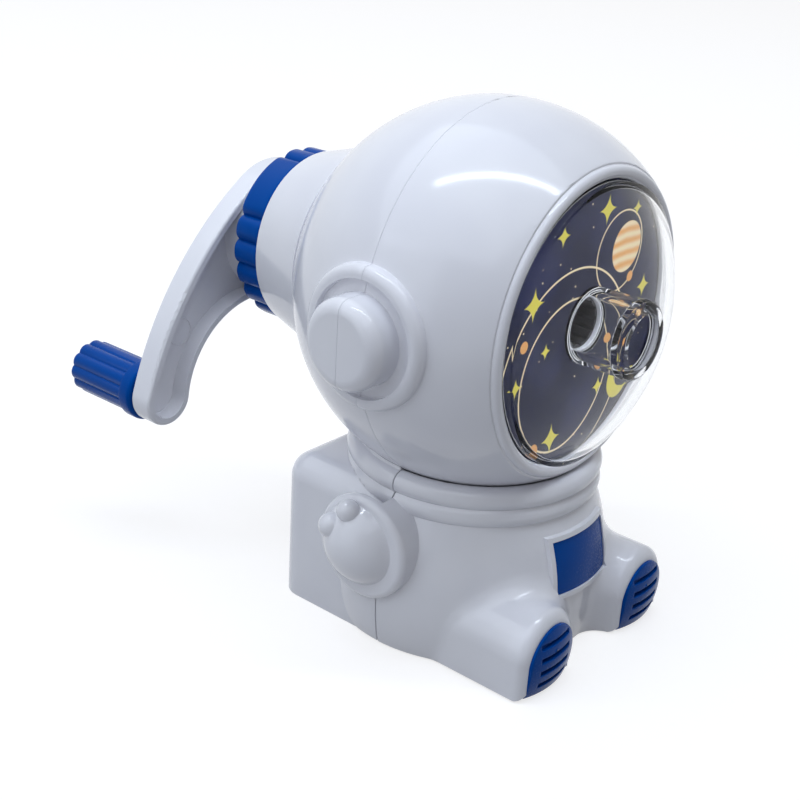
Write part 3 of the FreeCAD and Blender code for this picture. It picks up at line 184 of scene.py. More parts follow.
class SharpenerStage(bpy.types.PropertyGroup):
    """Camera, floor and light."""
    eye: location("Camera place", "Where the camera stands", (-0.21778, -0.15221, 0.16212))
    azimuth: angle("Camera azimuth", "Direction of the camera, from the front towards +X", -51.47)
    elevation: angle("Camera elevation", "Height of the camera over the horizon", 23.68)
    roll: angle("Camera roll", "Tilt of the camera about its view", 3.65)
    lens: bpy.props.FloatProperty(name="Lens", description="Focal length in millimetres", default=61.31,
                                  unit="CAMERA")
    sensor: bpy.props.FloatProperty(name="Sensor", description="Sensor width in millimetres", default=36.0,
                                    unit="CAMERA")
    world: colour("World light", "Soft light from all round", (1.0, 0.98, 0.97))
    world_strength: amount("World strength", "Strength of the light from all round", 0.14)
    lamp_tint: colour("Lamp tint", "Cool daylight of the lamps", (0.81, 0.89, 1.0))
    key_power: wattage("Key light", "Large soft lamp overhead", 12.6)
    key_place: location("Key place", "Where the key light hangs", (-0.28, 0.12, 1.08))
    key_side: length("Key side", "Side of the square key light", 1.8)
    side_power: wattage("Side light", "Soft lamp beside the pack", 1.8)
    side_place: location("Side place", "Where the side light stands", (-0.95, 0.30, 0.30))
    side_side: length("Side light's side", "Side of the square side light", 0.8)
    strip_power: wattage("Strip light", "Long narrow lamp overhead", 3.2)
    strip_place: location("Strip place", "Where the strip light hangs", (-0.045, -0.05, 0.98))
    strip_slant: direction("Strip slant", "Direction along the strip light", (0.58, -0.81, 0.0))
    strip_length: length("Strip length", "Length of the strip light", 1.04)
    strip_width: length("Strip width", "Width of the strip light", 0.04)
    floor: colour("Floor", "Colour of the floor", (0.34, 0.34, 0.35))
    floor_half: length("Floor half side", "Half the side of the floor", 4.0)
    floor_glow: amount("Floor glow", "Brightness added to the floor for the camera", 0.72)


def finish():
    return bpy.context.scene.sharpener_finish


def sizes():
    return bpy.context.scene.sharpener_sizes


def stage():
    return bpy.context.scene.sharpener_stage


# Shader helpers


def sockets_of(tree, kind):
    """A function that adds one named socket after another on a side of a group."""
    def add(wanted, default=None, socket_type="NodeSocketFloat"):
        socket = tree.interface.new_socket(wanted, in_out=kind, socket_type=socket_type)
        if default is not None:
            socket.default_value = default
        return socket
    return add


def put(tree, target, value):
    """Joins a socket or sets a plain value."""
    if isinstance(value, bpy.types.NodeSocket):
        tree.links.new(value, target)
    else:
        target.default_value = value


def math_node(tree, operation, *values, clamp=False):
    node = tree.nodes.new("ShaderNodeMath")
    node.operation = operation
    node.use_clamp = clamp
    for socket, value in zip(node.inputs, values):
        put(tree, socket, value)
    return node.outputs[0]


def mix_colour(tree, factor, first, second):
    node = tree.nodes.new("ShaderNodeMix")
    node.data_type = "RGBA"
    put(tree, node.inputs["Factor"], factor)
    put(tree, node.inputs["A"], first if isinstance(first, bpy.types.NodeSocket) else (*first, 1.0))
    put(tree, node.inputs["B"], second if isinstance(second, bpy.types.NodeSocket) else (*second, 1.0))
    return node.outputs["Result"]


def noise(tree, vector, scale, detail=2.0):
    node = tree.nodes.new("ShaderNodeTexNoise")
    put(tree, node.inputs["Vector"], vector)
    put(tree, node.inputs["Scale"], scale)
    node.inputs["Detail"].default_value = detail
    return node.outputs["Fac"]


def spread(tree, value, low, high, to_low, to_high, smooth=False):
    node = tree.nodes.new("ShaderNodeMapRange")
    node.interpolation_type = "SMOOTHSTEP" if smooth else "LINEAR"
    for name, item in (("Value", value), ("From Min", low), ("From Max", high),
                       ("To Min", to_low), ("To Max", to_high)):
        put(tree, node.inputs[name], item)
    return node.outputs["Result"]


def shader_group(name, build):
    """A node group built once and then shared."""
    tree = bpy.data.node_groups.get(name)
    if tree is None:
        tree = bpy.data.node_groups.new(name, "ShaderNodeTree")
        build(tree)
    return tree


def place_group(tree, group, **values):
    node = tree.nodes.new("ShaderNodeGroup")
    node.node_tree = group
    for name, value in values.items():
        put(tree, node.inputs[name.replace("_", " ")], value)
    return node.outputs


# Scales of the surface's patterns per metre, the values between which flow marks fade in, the patterns'
# shares of the bumps, and the bumps' height
FLOW_SCALE = 45.0
WAVE_SCALE = 160.0
GRAIN_SCALE = 2600.0
FLOW_EDGES = (0.35, 0.75)
WAVE_SHARE = 0.8
GRAIN_SHARE = 0.04
BUMP_HEIGHT = 0.05 * MM
CLEAR_ROUGHNESS = (0.01, 0.03)


def build_moulded_surface(tree):
    """Flow marks, uneven gloss and fine waves of moulded plastic."""
    add_in = sockets_of(tree, "INPUT")
    add_in("Position", socket_type="NodeSocketVector")
    add_in("Gloss", 0.2)
    add_in("Uneven", 0.08)
    add_in("Scale", 1.0)
    add_out = sockets_of(tree, "OUTPUT")
    add_out("Flow")
    add_out("Roughness")
    add_out("Height")
    given = tree.nodes.new("NodeGroupInput").outputs
    result = tree.nodes.new("NodeGroupOutput").inputs

    def pattern(scale, detail=2.0):
        return noise(tree, given["Position"], math_node(tree, "MULTIPLY", given["Scale"], scale), detail)

    broad = pattern(FLOW_SCALE)
    waves = pattern(WAVE_SCALE)
    grain = pattern(GRAIN_SCALE, detail=1.0)
    put(tree, result["Flow"], spread(tree, broad, *FLOW_EDGES, 0.0, 1.0, smooth=True))
    swing = math_node(tree, "MULTIPLY", math_node(tree, "SUBTRACT", broad, 0.5), given["Uneven"])
    speckle = math_node(tree, "MULTIPLY", math_node(tree, "SUBTRACT", grain, 0.5), given["Uneven"])
    rough = math_node(tree, "ADD", math_node(tree, "ADD", given["Gloss"], swing), speckle, clamp=True)
    put(tree, result["Roughness"], rough)
    tall = math_node(tree, "MULTIPLY", waves, WAVE_SHARE)
    fine = math_node(tree, "MULTIPLY", grain, GRAIN_SHARE)
    put(tree, result["Height"], math_node(tree, "ADD", tall, fine))


def moulded_surface(tree, position, **values):
    """Places the moulded surface in a material."""
    group = shader_group("moulded_surface", build_moulded_surface)
    return place_group(tree, group, Position=position, **values)


def new_material(name):
    material = bpy.data.materials.new(name)
    material.use_nodes = True
    tree = material.node_tree
    shader = tree.nodes["Principled BSDF"]
    position = tree.nodes.new("ShaderNodeTexCoord").outputs["Object"]
    return material, tree, shader, position


def bump(tree, shader, height, strength):
    node = tree.nodes.new("ShaderNodeBump")
    node.inputs["Strength"].default_value = strength
    node.inputs["Distance"].default_value = BUMP_HEIGHT
    put(tree, node.inputs["Height"], height)
    put(tree, shader.inputs["Normal"], node.outputs["Normal"])


def moulded_plastic(name, main, shade, gloss, uneven, waves, shine=0.5, sheen=(1.0, 1.0, 1.0)):
    """Glossy moulded plastic with faint flow marks and waves. Sheen is the colour of its reflections."""
    material, tree, shader, position = new_material(name)
    surface = moulded_surface(tree, position, Gloss=gloss, Uneven=uneven)
    put(tree, shader.inputs["Base Color"], mix_colour(tree, surface["Flow"], main, shade))
    put(tree, shader.inputs["Roughness"], surface["Roughness"])
    shader.inputs["IOR"].default_value = 1.5
    shader.inputs["Specular IOR Level"].default_value = shine
    shader.inputs["Specular Tint"].default_value = (*sheen, 1.0)
    bump(tree, shader, surface["Height"], waves)
    return material


def clear_plastic():
    """Clear polished plastic. Lamps shine straight through, so that the card behind is lit."""
    material, tree, shader, position = new_material("clear_plastic")
    surface = moulded_surface(tree, position)
    put(tree, shader.inputs["Roughness"], spread(tree, surface["Flow"], 0.0, 1.0, *CLEAR_ROUGHNESS))
    shader.inputs["Base Color"].default_value = (*finish().clear, 1.0)
    shader.inputs["Transmission Weight"].default_value = 1.0
    # the low index keeps the thin shell from hiding the card behind a pale reflection
    shader.inputs["IOR"].default_value = 1.2
    bump(tree, shader, surface["Flow"], strength=0.02)
    through = tree.nodes.new("ShaderNodeBsdfTransparent")
    path = tree.nodes.new("ShaderNodeLightPath")
    mixed = tree.nodes.new("ShaderNodeMixShader")
    put(tree, mixed.inputs["Fac"], path.outputs["Is Shadow Ray"])
    put(tree, mixed.inputs[1], shader.outputs["BSDF"])
    put(tree, mixed.inputs[2], through.outputs["BSDF"])
    put(tree, tree.nodes["Material Output"].inputs["Surface"], mixed.outputs["Shader"])
    return material


def ground_steel():
    """Bright steel, a little uneven in tone and gloss."""
    material, tree, shader, position = new_material("ground_steel")
    surface = moulded_surface(tree, position, Gloss=0.3, Uneven=0.25, Scale=3.0)
    tone = mix_colour(tree, surface["Flow"], finish().steel, finish().steel_shade)
    put(tree, shader.inputs["Base Color"], tone)
    put(tree, shader.inputs["Roughness"], surface["Roughness"])
    shader.inputs["Metallic"].default_value = 1.0
    bump(tree, shader, surface["Height"], strength=0.2)
    return material


# The card's print: flat motifs on a night sky, placed in millimetres from the card's centre

INK_BLEED = 0.10
SPARKLE_HOLLOW = 0.55
SPARKLE_SPAN = 1.8
CLOUD_SCALE = 0.07
CLOUD_EDGES = (0.42, 0.72)
DUST_SCALE = 0.34
DUST_EDGES = (0.05, 0.08)
BAND_SCALE = 0.13
BAND_WAVE = 1.6
CARD_ROUGHNESS = (0.40, 0.52)
# motifs: across, up and size, and for an orbit also half the line's width
ORBITS = ((-6.0, -9.0, 15.5, 0.20), (-6.0, -9.0, 21.5, 0.20), (9.0, 13.0, 8.2, 0.16))
SPARKLES = ((-19.5, 8.5, 3.6), (-12.0, 20.0, 2.4), (2.5, 22.5, 3.2), (20.5, 3.5, 2.8), (-23.0, -7.0, 2.2),
            (-9.0, -21.5, 3.4), (7.0, -15.0, 2.2), (-14.0, -2.0, 1.8), (13.5, 21.0, 1.8))
MOONS = ((-14.9, -22.3, 1.5), (9.2, -5.6, 1.3), (14.3, 6.8, 1.1), (-21.4, 0.8, 1.2))
BANDED_DISC = (11.5, 13.5, 5.2)
CRESCENT = (15.5, -15.5, 4.6)
CRESCENT_BITE = (17.3, -13.9, 4.0)


def from_centre(tree, given):
    """Sideways and upward distance of a point from a motif's centre."""
    parts = tree.nodes.new("ShaderNodeSeparateXYZ")
    put(tree, parts.inputs[0], given["Position"])
    side = math_node(tree, "SUBTRACT", parts.outputs["X"], given["Across"])
    rise = math_node(tree, "SUBTRACT", parts.outputs["Z"], given["Up"])
    return side, rise


def motif_sockets(tree, *more):
    add_in = sockets_of(tree, "INPUT")
    add_in("Position", socket_type="NodeSocketVector")
    for name in ("Across", "Up", "Size", *more):
        add_in(name, 0.0)
    sockets_of(tree, "OUTPUT")("Mask")
    return tree.nodes.new("NodeGroupInput").outputs, tree.nodes.new("NodeGroupOutput").inputs


def inked(tree, distance, edge):
    """1 inside an edge and 0 outside, with the slightly soft edge of print."""
    low = math_node(tree, "SUBTRACT", edge, INK_BLEED)
    high = math_node(tree, "ADD", edge, INK_BLEED)
    return spread(tree, distance, low, high, 1.0, 0.0, smooth=True)


def sum_of_powers(tree, side, rise, exponent):
    lengths = [math_node(tree, "ABSOLUTE", value) for value in (side, rise)]
    return math_node(tree, "ADD", *[math_node(tree, "POWER", value, exponent) for value in lengths])


def reach_of(tree, side, rise):
    """Distance of a point from the middle."""
    return math_node(tree, "SQRT", sum_of_powers(tree, side, rise, 2.0))


def build_print_disc(tree):
    given, result = motif_sockets(tree)
    side, rise = from_centre(tree, given)
    put(tree, result["Mask"], inked(tree, reach_of(tree, side, rise), given["Size"]))


def build_print_orbit(tree):
    given, result = motif_sockets(tree, "Width")
    side, rise = from_centre(tree, given)
    off = math_node(tree, "ABSOLUTE", math_node(tree, "SUBTRACT", reach_of(tree, side, rise), given["Size"]))
    put(tree, result["Mask"], inked(tree, off, given["Width"]))


def build_print_sparkle(tree):
    """Four-pointed sparkle with hollow sides."""
    given, result = motif_sockets(tree)
    side, rise = from_centre(tree, given)
    arms = sum_of_powers(tree, side, rise, SPARKLE_HOLLOW)
    put(tree, result["Mask"], inked(tree, math_node(tree, "POWER", arms, SPARKLE_SPAN), given["Size"]))


def printed_card():
    """Navy night sky with orbits, sparkles, small moons, a banded disc and a crescent."""
    look = finish()
    material, tree, shader, position = new_material("printed_card")
    mapping = tree.nodes.new("ShaderNodeMapping")
    put(tree, mapping.inputs["Vector"], position)
    mapping.inputs["Scale"].default_value = (1 / MM, 1 / MM, 1 / MM)
    mapping.inputs["Location"].default_value = (0.0, 0.0, -AXIS_HEIGHT / MM)
    spot = mapping.outputs["Vector"]
    disc = shader_group("print_disc", build_print_disc)
    orbit = shader_group("print_orbit", build_print_orbit)
    sparkle = shader_group("print_sparkle", build_print_sparkle)

    def motif(group, across, up, size, **more):
        return place_group(tree, group, Position=spot, Across=across, Up=up, Size=size, **more)["Mask"]

    clouds = noise(tree, spot, CLOUD_SCALE, detail=4.0)
    clouds = spread(tree, clouds, *CLOUD_EDGES, 0.0, 1.0, smooth=True)
    ink = mix_colour(tree, clouds, look.navy, look.haze)
    dust = tree.nodes.new("ShaderNodeTexVoronoi")
    put(tree, dust.inputs["Vector"], spot)
    dust.inputs["Scale"].default_value = DUST_SCALE
    ink = mix_colour(tree, spread(tree, dust.outputs["Distance"], *DUST_EDGES, 1.0, 0.0), ink, look.cream)
    for across, up, size, width in ORBITS:
        ink = mix_colour(tree, motif(orbit, across, up, size, Width=width), ink, look.cream)
    for across, up, size in MOONS:
        ink = mix_colour(tree, motif(disc, across, up, size), ink, look.tan)
    for across, up, size in SPARKLES:
        ink = mix_colour(tree, motif(sparkle, across, up, size), ink, look.yellow)
    crescent = math_node(tree, "SUBTRACT", motif(disc, *CRESCENT), motif(disc, *CRESCENT_BITE), clamp=True)
    ink = mix_colour(tree, crescent, ink, look.yellow)
    bands = tree.nodes.new("ShaderNodeTexWave")
    bands.bands_direction = "Z"
    put(tree, bands.inputs["Vector"], spot)
    bands.inputs["Scale"].default_value = BAND_SCALE
    bands.inputs["Distortion"].default_value = BAND_WAVE
    body = mix_colour(tree, bands.outputs["Fac"], look.tan, look.cream)
    ink = mix_colour(tree, motif(disc, *BANDED_DISC), ink, body)
    put(tree, shader.inputs["Base Color"], ink)
    surface = moulded_surface(tree, position, Scale=2.0)
    put(tree, shader.inputs["Roughness"], spread(tree, surface["Flow"], 0.0, 1.0, *CARD_ROUGHNESS))
    shader.inputs["Specular IOR Level"].default_value = 0.15
    bump(tree, shader, surface["Flow"], strength=0.05)
    return material


def white_shell():
    return moulded_plastic("white_shell", finish().white, finish().white_shade, gloss=0.13, uneven=0.05,
                           waves=0.05)


def blue_plastic():
    return moulded_plastic("blue_plastic", finish().blue, finish().blue_shade, gloss=0.26, uneven=0.10,
                           waves=0.05, shine=0.12, sheen=finish().blue_sheen)


def dark_plastic():
    return moulded_plastic("dark_plastic", finish().dark, finish().dark_shade, gloss=0.42, uneven=0.15,
                           waves=0.03)


MAKERS = {"white_shell": white_shell, "blue_plastic": blue_plastic, "dark_plastic": dark_plastic,
          "clear_plastic": clear_plastic, "printed_card": printed_card, "steel": ground_steel}
MATERIALS = {}


def material_of(slot):
    """The finish of a material slot, made when it is first asked for."""
    if slot not in MATERIALS:
        MATERIALS[slot] = MAKERS[slot]()
    return MATERIALS[slot]


# Mesh helpers


def link(name, mesh):
    obj = bpy.data.objects.new(name, mesh)
    bpy.context.scene.collection.objects.link(obj)
    return obj


def baked(obj):
    """Replaces an object's mesh by what its modifiers make of it, and removes them."""
    graph = bpy.context.evaluated_depsgraph_get()
    mesh = bpy.data.meshes.new_from_object(obj.evaluated_get(graph), preserve_all_data_layers=True,
                                           depsgraph=graph)
    obj.modifiers.clear()
    obj.data = mesh
    return obj


def stand_for(obj, *nodes):
    """Gives a piece its finish and lets it ride in the place of its solids."""
    slot = SLOT_OF[nodes[0]]
    obj.data.materials.clear()
    obj.data.materials.append(material_of(slot))
    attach(obj, BODY_OF[nodes[0]])
    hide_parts(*nodes)
    return obj


def shade(obj, crease):
    obj.data.shade_smooth()
    obj.data.set_sharp_from_angle(angle=crease)


def pull_strays(mesh, solid, reach):
    """Sets the points that rounding threw off a solid's surface back on it."""
    for vertex in mesh.vertices:
        near, _, _, distance = solid.find_nearest(vertex.co)
        if distance > reach:
            vertex.co = near


def round_feet(shell):
    """Cuts the lower front edge of the drawer's feet to a round, plane by plane."""
    low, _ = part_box("drawer")
    radius = sizes().foot_round
    facets = sizes().foot_facets
    centre = low + Vector((0.0, radius, radius))
    for step in range(1, facets):
        lean = math.radians(90) * step / facets
        outward = Vector((0.0, -math.cos(lean), -math.sin(lean)))
        everything = [*shell.verts, *shell.edges, *shell.faces]
        bmesh.ops.bisect_plane(shell, geom=everything, plane_co=centre + outward * radius,
                               plane_no=outward, clear_outer=True)
        bmesh.ops.holes_fill(shell, edges=[edge for edge in shell.edges if edge.is_boundary])


def moulded_copy(node, width, careful=False, reshape=None):
    """A merged copy of a solid whose sharp edges are rounded a little and shaded softly.

    Careful rounding never passes a short edge, which a solid with round edges of its own needs.
    Reshape is a function that changes the copy before its edges are rounded.
    """
    mesh = NODES[node].data.copy()
    mesh.materials.clear()
    shell = bmesh.new()
    shell.from_mesh(mesh)
    bmesh.ops.remove_doubles(shell, verts=shell.verts, dist=MERGE_DISTANCE)
    bmesh.ops.dissolve_degenerate(shell, dist=SLIVER, edges=shell.edges)
    bmesh.ops.dissolve_limit(shell, angle_limit=FLAT_FOLD, verts=shell.verts, edges=shell.edges)
    if reshape:
        reshape(shell)
    solid = BVHTree.FromBMesh(shell)
    shell.to_mesh(mesh)
    shell.free()
    obj = link(node + "_moulded", mesh)
    rounding = obj.modifiers.new("edges", "BEVEL")
    rounding.width = width
    rounding.segments = 2
    rounding.limit_method = "ANGLE"
    rounding.angle_limit = sizes().crease
    rounding.use_clamp_overlap = careful
    baked(obj)
    pull_strays(obj.data, solid, width * STRAY_SHARE)
    obj.data.shade_smooth()
    even = obj.modifiers.new("normals", "WEIGHTED_NORMAL")
    even.keep_sharp = True
    return baked(obj)


def rounded_outline(corners, steps=6):
    """Closed outline through corners (radius, along, rounding), each corner drawn as an arc."""
    points = []
    for i, (radius, along, rounding) in enumerate(corners):
        here = Vector((radius, along))
        before = Vector(corners[i - 1][:2]) - here
        after = Vector(corners[(i + 1) % len(corners)][:2]) - here
        if rounding == 0:
            points.append(here)
            continue
        before.normalize()
        after.normalize()
        half = before.angle(after) / 2
        start = here + before * (rounding / math.tan(half))
        centre = here + (before + after).normalized() * (rounding / math.sin(half))
        sweep = (math.pi - 2 * half) * (1 if before.cross(after) < 0 else -1)
        spoke = start - centre
        for step in range(steps + 1):
            points.append(centre + Matrix.Rotation(sweep * step / steps, 2) @ spoke)
    return points


def lathe(name, outline, segments):
    """Closed mesh from turning an outline about the local Z axis."""
    shell = bmesh.new()
    rows = []
    for i in range(segments):
        turn = 2 * math.pi * i / segments
        rows.append([shell.verts.new((p.x * math.cos(turn), p.x * math.sin(turn), p.y)) for p in outline])
    for i in range(segments):
        row, other = rows[i], rows[(i + 1) % segments]
        for j in range(len(outline)):
            k = (j + 1) % len(outline)
            shell.faces.new((row[j], other[j], other[k], row[k]))
    bmesh.ops.recalc_face_normals(shell, faces=shell.faces)
    mesh = bpy.data.meshes.new(name)
    shell.to_mesh(mesh)
    shell.free()
    return link(name, mesh)


def along_y(x, y, z):
    """Puts a turned piece's local Z along Y and its local X along X, with its start at a point."""
    return Matrix.Translation((x, y, z)) @ Matrix.Rotation(math.radians(-90), 4, "X")


# Geometry Nodes


def geometry_tree(name, inputs):
    """An empty tree with one geometry in and out, and named inputs of (type, default)."""
    tree = bpy.data.node_groups.new(name, "GeometryNodeTree")
    tree.interface.new_socket("Geometry", in_out="INPUT", socket_type="NodeSocketGeometry")
    for label, (socket_type, default) in inputs.items():
        socket = tree.interface.new_socket(label, in_out="INPUT", socket_type=socket_type)
        if default is not None:
            socket.default_value = default
    tree.interface.new_socket("Geometry", in_out="OUTPUT", socket_type="NodeSocketGeometry")
    return tree, tree.nodes.new("NodeGroupInput").outputs, tree.nodes.new("NodeGroupOutput").inputs


def real_and_painted(tree, geometry, given, result):
    """Ends a tree: its copies become real and take the given material."""
    realize = tree.nodes.new("GeometryNodeRealizeInstances")
    put(tree, realize.inputs[0], geometry)
    paint = tree.nodes.new("GeometryNodeSetMaterial")
    put(tree, paint.inputs["Geometry"], realize.outputs[0])
    put(tree, paint.inputs["Material"], given["Material"])
    put(tree, result["Geometry"], paint.outputs["Geometry"])


def use_tree(obj, tree, **values):
    """Runs a tree on an object with the named values and keeps the plain mesh."""
    modifier = obj.modifiers.new(tree.name, "NODES")
    modifier.node_group = tree
    for item in tree.interface.items_tree:
        label = item.name.replace(" ", "_").lower()
        if item.in_out == "INPUT" and label in values:
            modifier[item.identifier] = values[label]
    return baked(obj)


def grip_tree():
    """Sinks groups of narrow grooves along a turned piece's axis, with round ridges between them."""
    tree, given, result = geometry_tree("grip_grooves", {
        "Radius": ("NodeSocketFloat", 0.02), "Depth": ("NodeSocketFloat", 0.001),
        "Narrowness": ("NodeSocketFloat", 2.0), "Start": ("NodeSocketFloat", 0.0),
        "Pitch": ("NodeSocketFloat", 0.3), "Grooves": ("NodeSocketInt", 5), "Groups": ("NodeSocketInt", 3),
        "Skin": ("NodeSocketFloat", 0.001), "From": ("NodeSocketFloat", 0.0),
        "Run In": ("NodeSocketFloat", 0.0001), "Material": ("NodeSocketMaterial", None)})
    position = tree.nodes.new("GeometryNodeInputPosition").outputs[0]
    parts = tree.nodes.new("ShaderNodeSeparateXYZ")
    put(tree, parts.inputs[0], position)
    x, y, z = parts.outputs
    reach = reach_of(tree, x, y)
    turn = math_node(tree, "SUBTRACT", math_node(tree, "ARCTAN2", y, x), given["Start"])
    half = math_node(tree, "MULTIPLY", given["Pitch"], 0.5)
    sector = math_node(tree, "DIVIDE", 2 * math.pi, given["Groups"])
    low = math_node(tree, "MULTIPLY", half, -1.0)
    within = math_node(tree, "WRAP", turn, math_node(tree, "SUBTRACT", sector, half), low)
    step = math_node(tree, "ROUND", math_node(tree, "DIVIDE", within, given["Pitch"]))
    last = math_node(tree, "SUBTRACT", given["Grooves"], 1.0)
    nearest = math_node(tree, "MAXIMUM", math_node(tree, "MINIMUM", step, last), 0.0)
    off = math_node(tree, "SUBTRACT", within, math_node(tree, "MULTIPLY", nearest, given["Pitch"]))
    share = math_node(tree, "DIVIDE", math_node(tree, "ABSOLUTE", off), half)
    near = math_node(tree, "SUBTRACT", 1.0, share, clamp=True)
    deep = math_node(tree, "MULTIPLY", given["Depth"], math_node(tree, "POWER", near, given["Narrowness"]))
    inside = math_node(tree, "SUBTRACT", given["Radius"], given["Skin"])
    outside = math_node(tree, "GREATER_THAN", reach, inside)
    along = math_node(tree, "SUBTRACT", z, given["From"])
    entry = math_node(tree, "DIVIDE", along, given["Run In"], clamp=True)
    deep = math_node(tree, "MULTIPLY", math_node(tree, "MULTIPLY", deep, outside), entry)
    keep = math_node(tree, "SUBTRACT", 1.0, math_node(tree, "DIVIDE", deep, reach))
    joined = tree.nodes.new("ShaderNodeCombineXYZ")
    put(tree, joined.inputs["X"], math_node(tree, "MULTIPLY", x, keep))
    put(tree, joined.inputs["Y"], math_node(tree, "MULTIPLY", y, keep))
    put(tree, joined.inputs["Z"], z)
    move = tree.nodes.new("GeometryNodeSetPosition")
    put(tree, move.inputs["Geometry"], given["Geometry"])
    put(tree, move.inputs["Position"], joined.outputs[0])
    real_and_painted(tree, move.outputs["Geometry"], given, result)
    return tree


def grip_grooves():
    return bpy.data.node_groups.get("grip_grooves") or grip_tree()


def pair_of_points(tree, across, height):
    """Two points at one height, to the left and right of the middle plane."""
    line = tree.nodes.new("GeometryNodeMeshLine")
    line.mode = "END_POINTS"
    line.inputs["Count"].default_value = 2
    for label, side in (("Start Location", -1.0), ("Offset", 1.0)):
        place = tree.nodes.new("ShaderNodeCombineXYZ")
        put(tree, place.inputs["X"], math_node(tree, "MULTIPLY", across, side))
        put(tree, place.inputs["Z"], height)
        put(tree, line.inputs[label], place.outputs[0])
    return line.outputs["Mesh"]


def corner_tree():
    """Sets one piece at two lower and two upper places, left and right of the middle plane."""
    tree, given, result = geometry_tree("four_corners", {
        "Lower Across": ("NodeSocketFloat", 0.02), "Lower Height": ("NodeSocketFloat", 0.05),
        "Upper Across": ("NodeSocketFloat", 0.01), "Upper Height": ("NodeSocketFloat", 0.10),
        "Material": ("NodeSocketMaterial", None)})
    joined = tree.nodes.new("GeometryNodeJoinGeometry")
    for row in ("Lower", "Upper"):
        points = pair_of_points(tree, given[row + " Across"], given[row + " Height"])
        put(tree, joined.inputs["Geometry"], points)
    corners = tree.nodes.new("GeometryNodeInstanceOnPoints")
    put(tree, corners.inputs["Points"], joined.outputs["Geometry"])
    put(tree, corners.inputs["Instance"], given["Geometry"])
    real_and_painted(tree, corners.outputs["Instances"], given, result)
    return tree


# Operators


class DressShells(bpy.types.Operator):
    """Round and finish the white mouldings"""
    bl_idname = "sharpener.shells"
    bl_label = "White mouldings"

    def execute(self, context):
        for node in ("helmet_front", "helmet_rear", "body_rear", "pencil_guide"):
            stand_for(moulded_copy(node, sizes().edge_round), node)
        for node, reshape in (("drawer", round_feet), ("crank_arm", None)):
            stand_for(moulded_copy(node, sizes().edge_round, careful=True, reshape=reshape), node)
        return {"FINISHED"}


class MarkCrank(bpy.types.Operator):
    """Raise the ring that an ejector pin leaves on the floor of the crank's channel"""
    bl_idname = "sharpener.crank_mark"
    bl_label = "Crank pin mark"

    def execute(self, context):
        size = sizes()
        half = size.pin_mark_half
        rise = size.pin_mark_rise
        inner = size.pin_mark - half
        outer = size.pin_mark + half
        outline = rounded_outline(((inner, -rise, half / 2), (outer, -rise, half / 2),
                                   (outer, rise, 0.0), (inner, rise, 0.0)), steps=3)
        mark = lathe("crank_pin_mark", outline, size.pin_mark_segments)
        mark.data.transform(along_y(*PIN_MARK_PLACE))
        shade(mark, size.crease)
        mark.data.materials.append(material_of("white_shell"))
        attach(mark, BODY_OF["crank_arm"])
        return {"FINISHED"}


class DressVisor(bpy.types.Operator):
    """Round and polish the clear visor"""
    bl_idname = "sharpener.visor"
    bl_label = "Visor"

    def execute(self, context):
        stand_for(moulded_copy("visor", sizes().edge_round), "visor")
        return {"FINISHED"}


class DressCard(bpy.types.Operator):
    """Print the card and finish the ribbed insert in its hole"""
    bl_idname = "sharpener.card"
    bl_label = "Card and insert"

    def execute(self, context):
        for node in ("backdrop_card", "guide_insert"):
            stand_for(moulded_copy(node, sizes().fine_round), node)
        return {"FINISHED"}


class DressTrim(bpy.types.Operator):
    """Round and finish the blue soles and the chest panel"""
    bl_idname = "sharpener.trim"
    bl_label = "Soles and chest panel"

    def execute(self, context):
        for node in ("right_sole", "left_sole", "chest_panel"):
            stand_for(moulded_copy(node, sizes().edge_round), node)
        return {"FINISHED"}


class DressLockRing(bpy.types.Operator):
    """Turn the lock ring and sink its finger grooves"""
    bl_idname = "sharpener.lock_ring"
    bl_label = "Lock ring"

    def execute(self, context):
        size = sizes()
        width = RING_HIGH.y - RING_LOW.y
        back = width - size.ring_lip_depth
        outline = rounded_outline((
            (size.ring_bore, 0.0, size.fine_round), (size.ring_radius, 0.0, size.ring_round),
            (size.ring_radius, width, size.ring_round), (size.ring_lip, width, size.fine_round),
            (size.ring_lip, back, size.fine_round), (size.ring_bore, back, 0.0)))
        ring = lathe("lock_ring_grooved", outline, size.ring_segments)
        # seen along the turned piece's own axis the angle runs from +X towards -Z
        use_tree(ring, grip_grooves(), radius=size.ring_radius, depth=size.ring_depth,
                 narrowness=size.ring_narrow,
                 start=-size.ring_start - (size.ring_grooves - 1) * size.ring_pitch,
                 pitch=size.ring_pitch, grooves=size.ring_grooves, groups=size.ring_groups,
                 skin=size.ring_skin, material=material_of("blue_plastic"))
        ring.data.transform(along_y(0.0, RING_LOW.y, AXIS_HEIGHT))
        shade(ring, size.crease)
        stand_for(ring, "lock_ring")
        return {"FINISHED"}


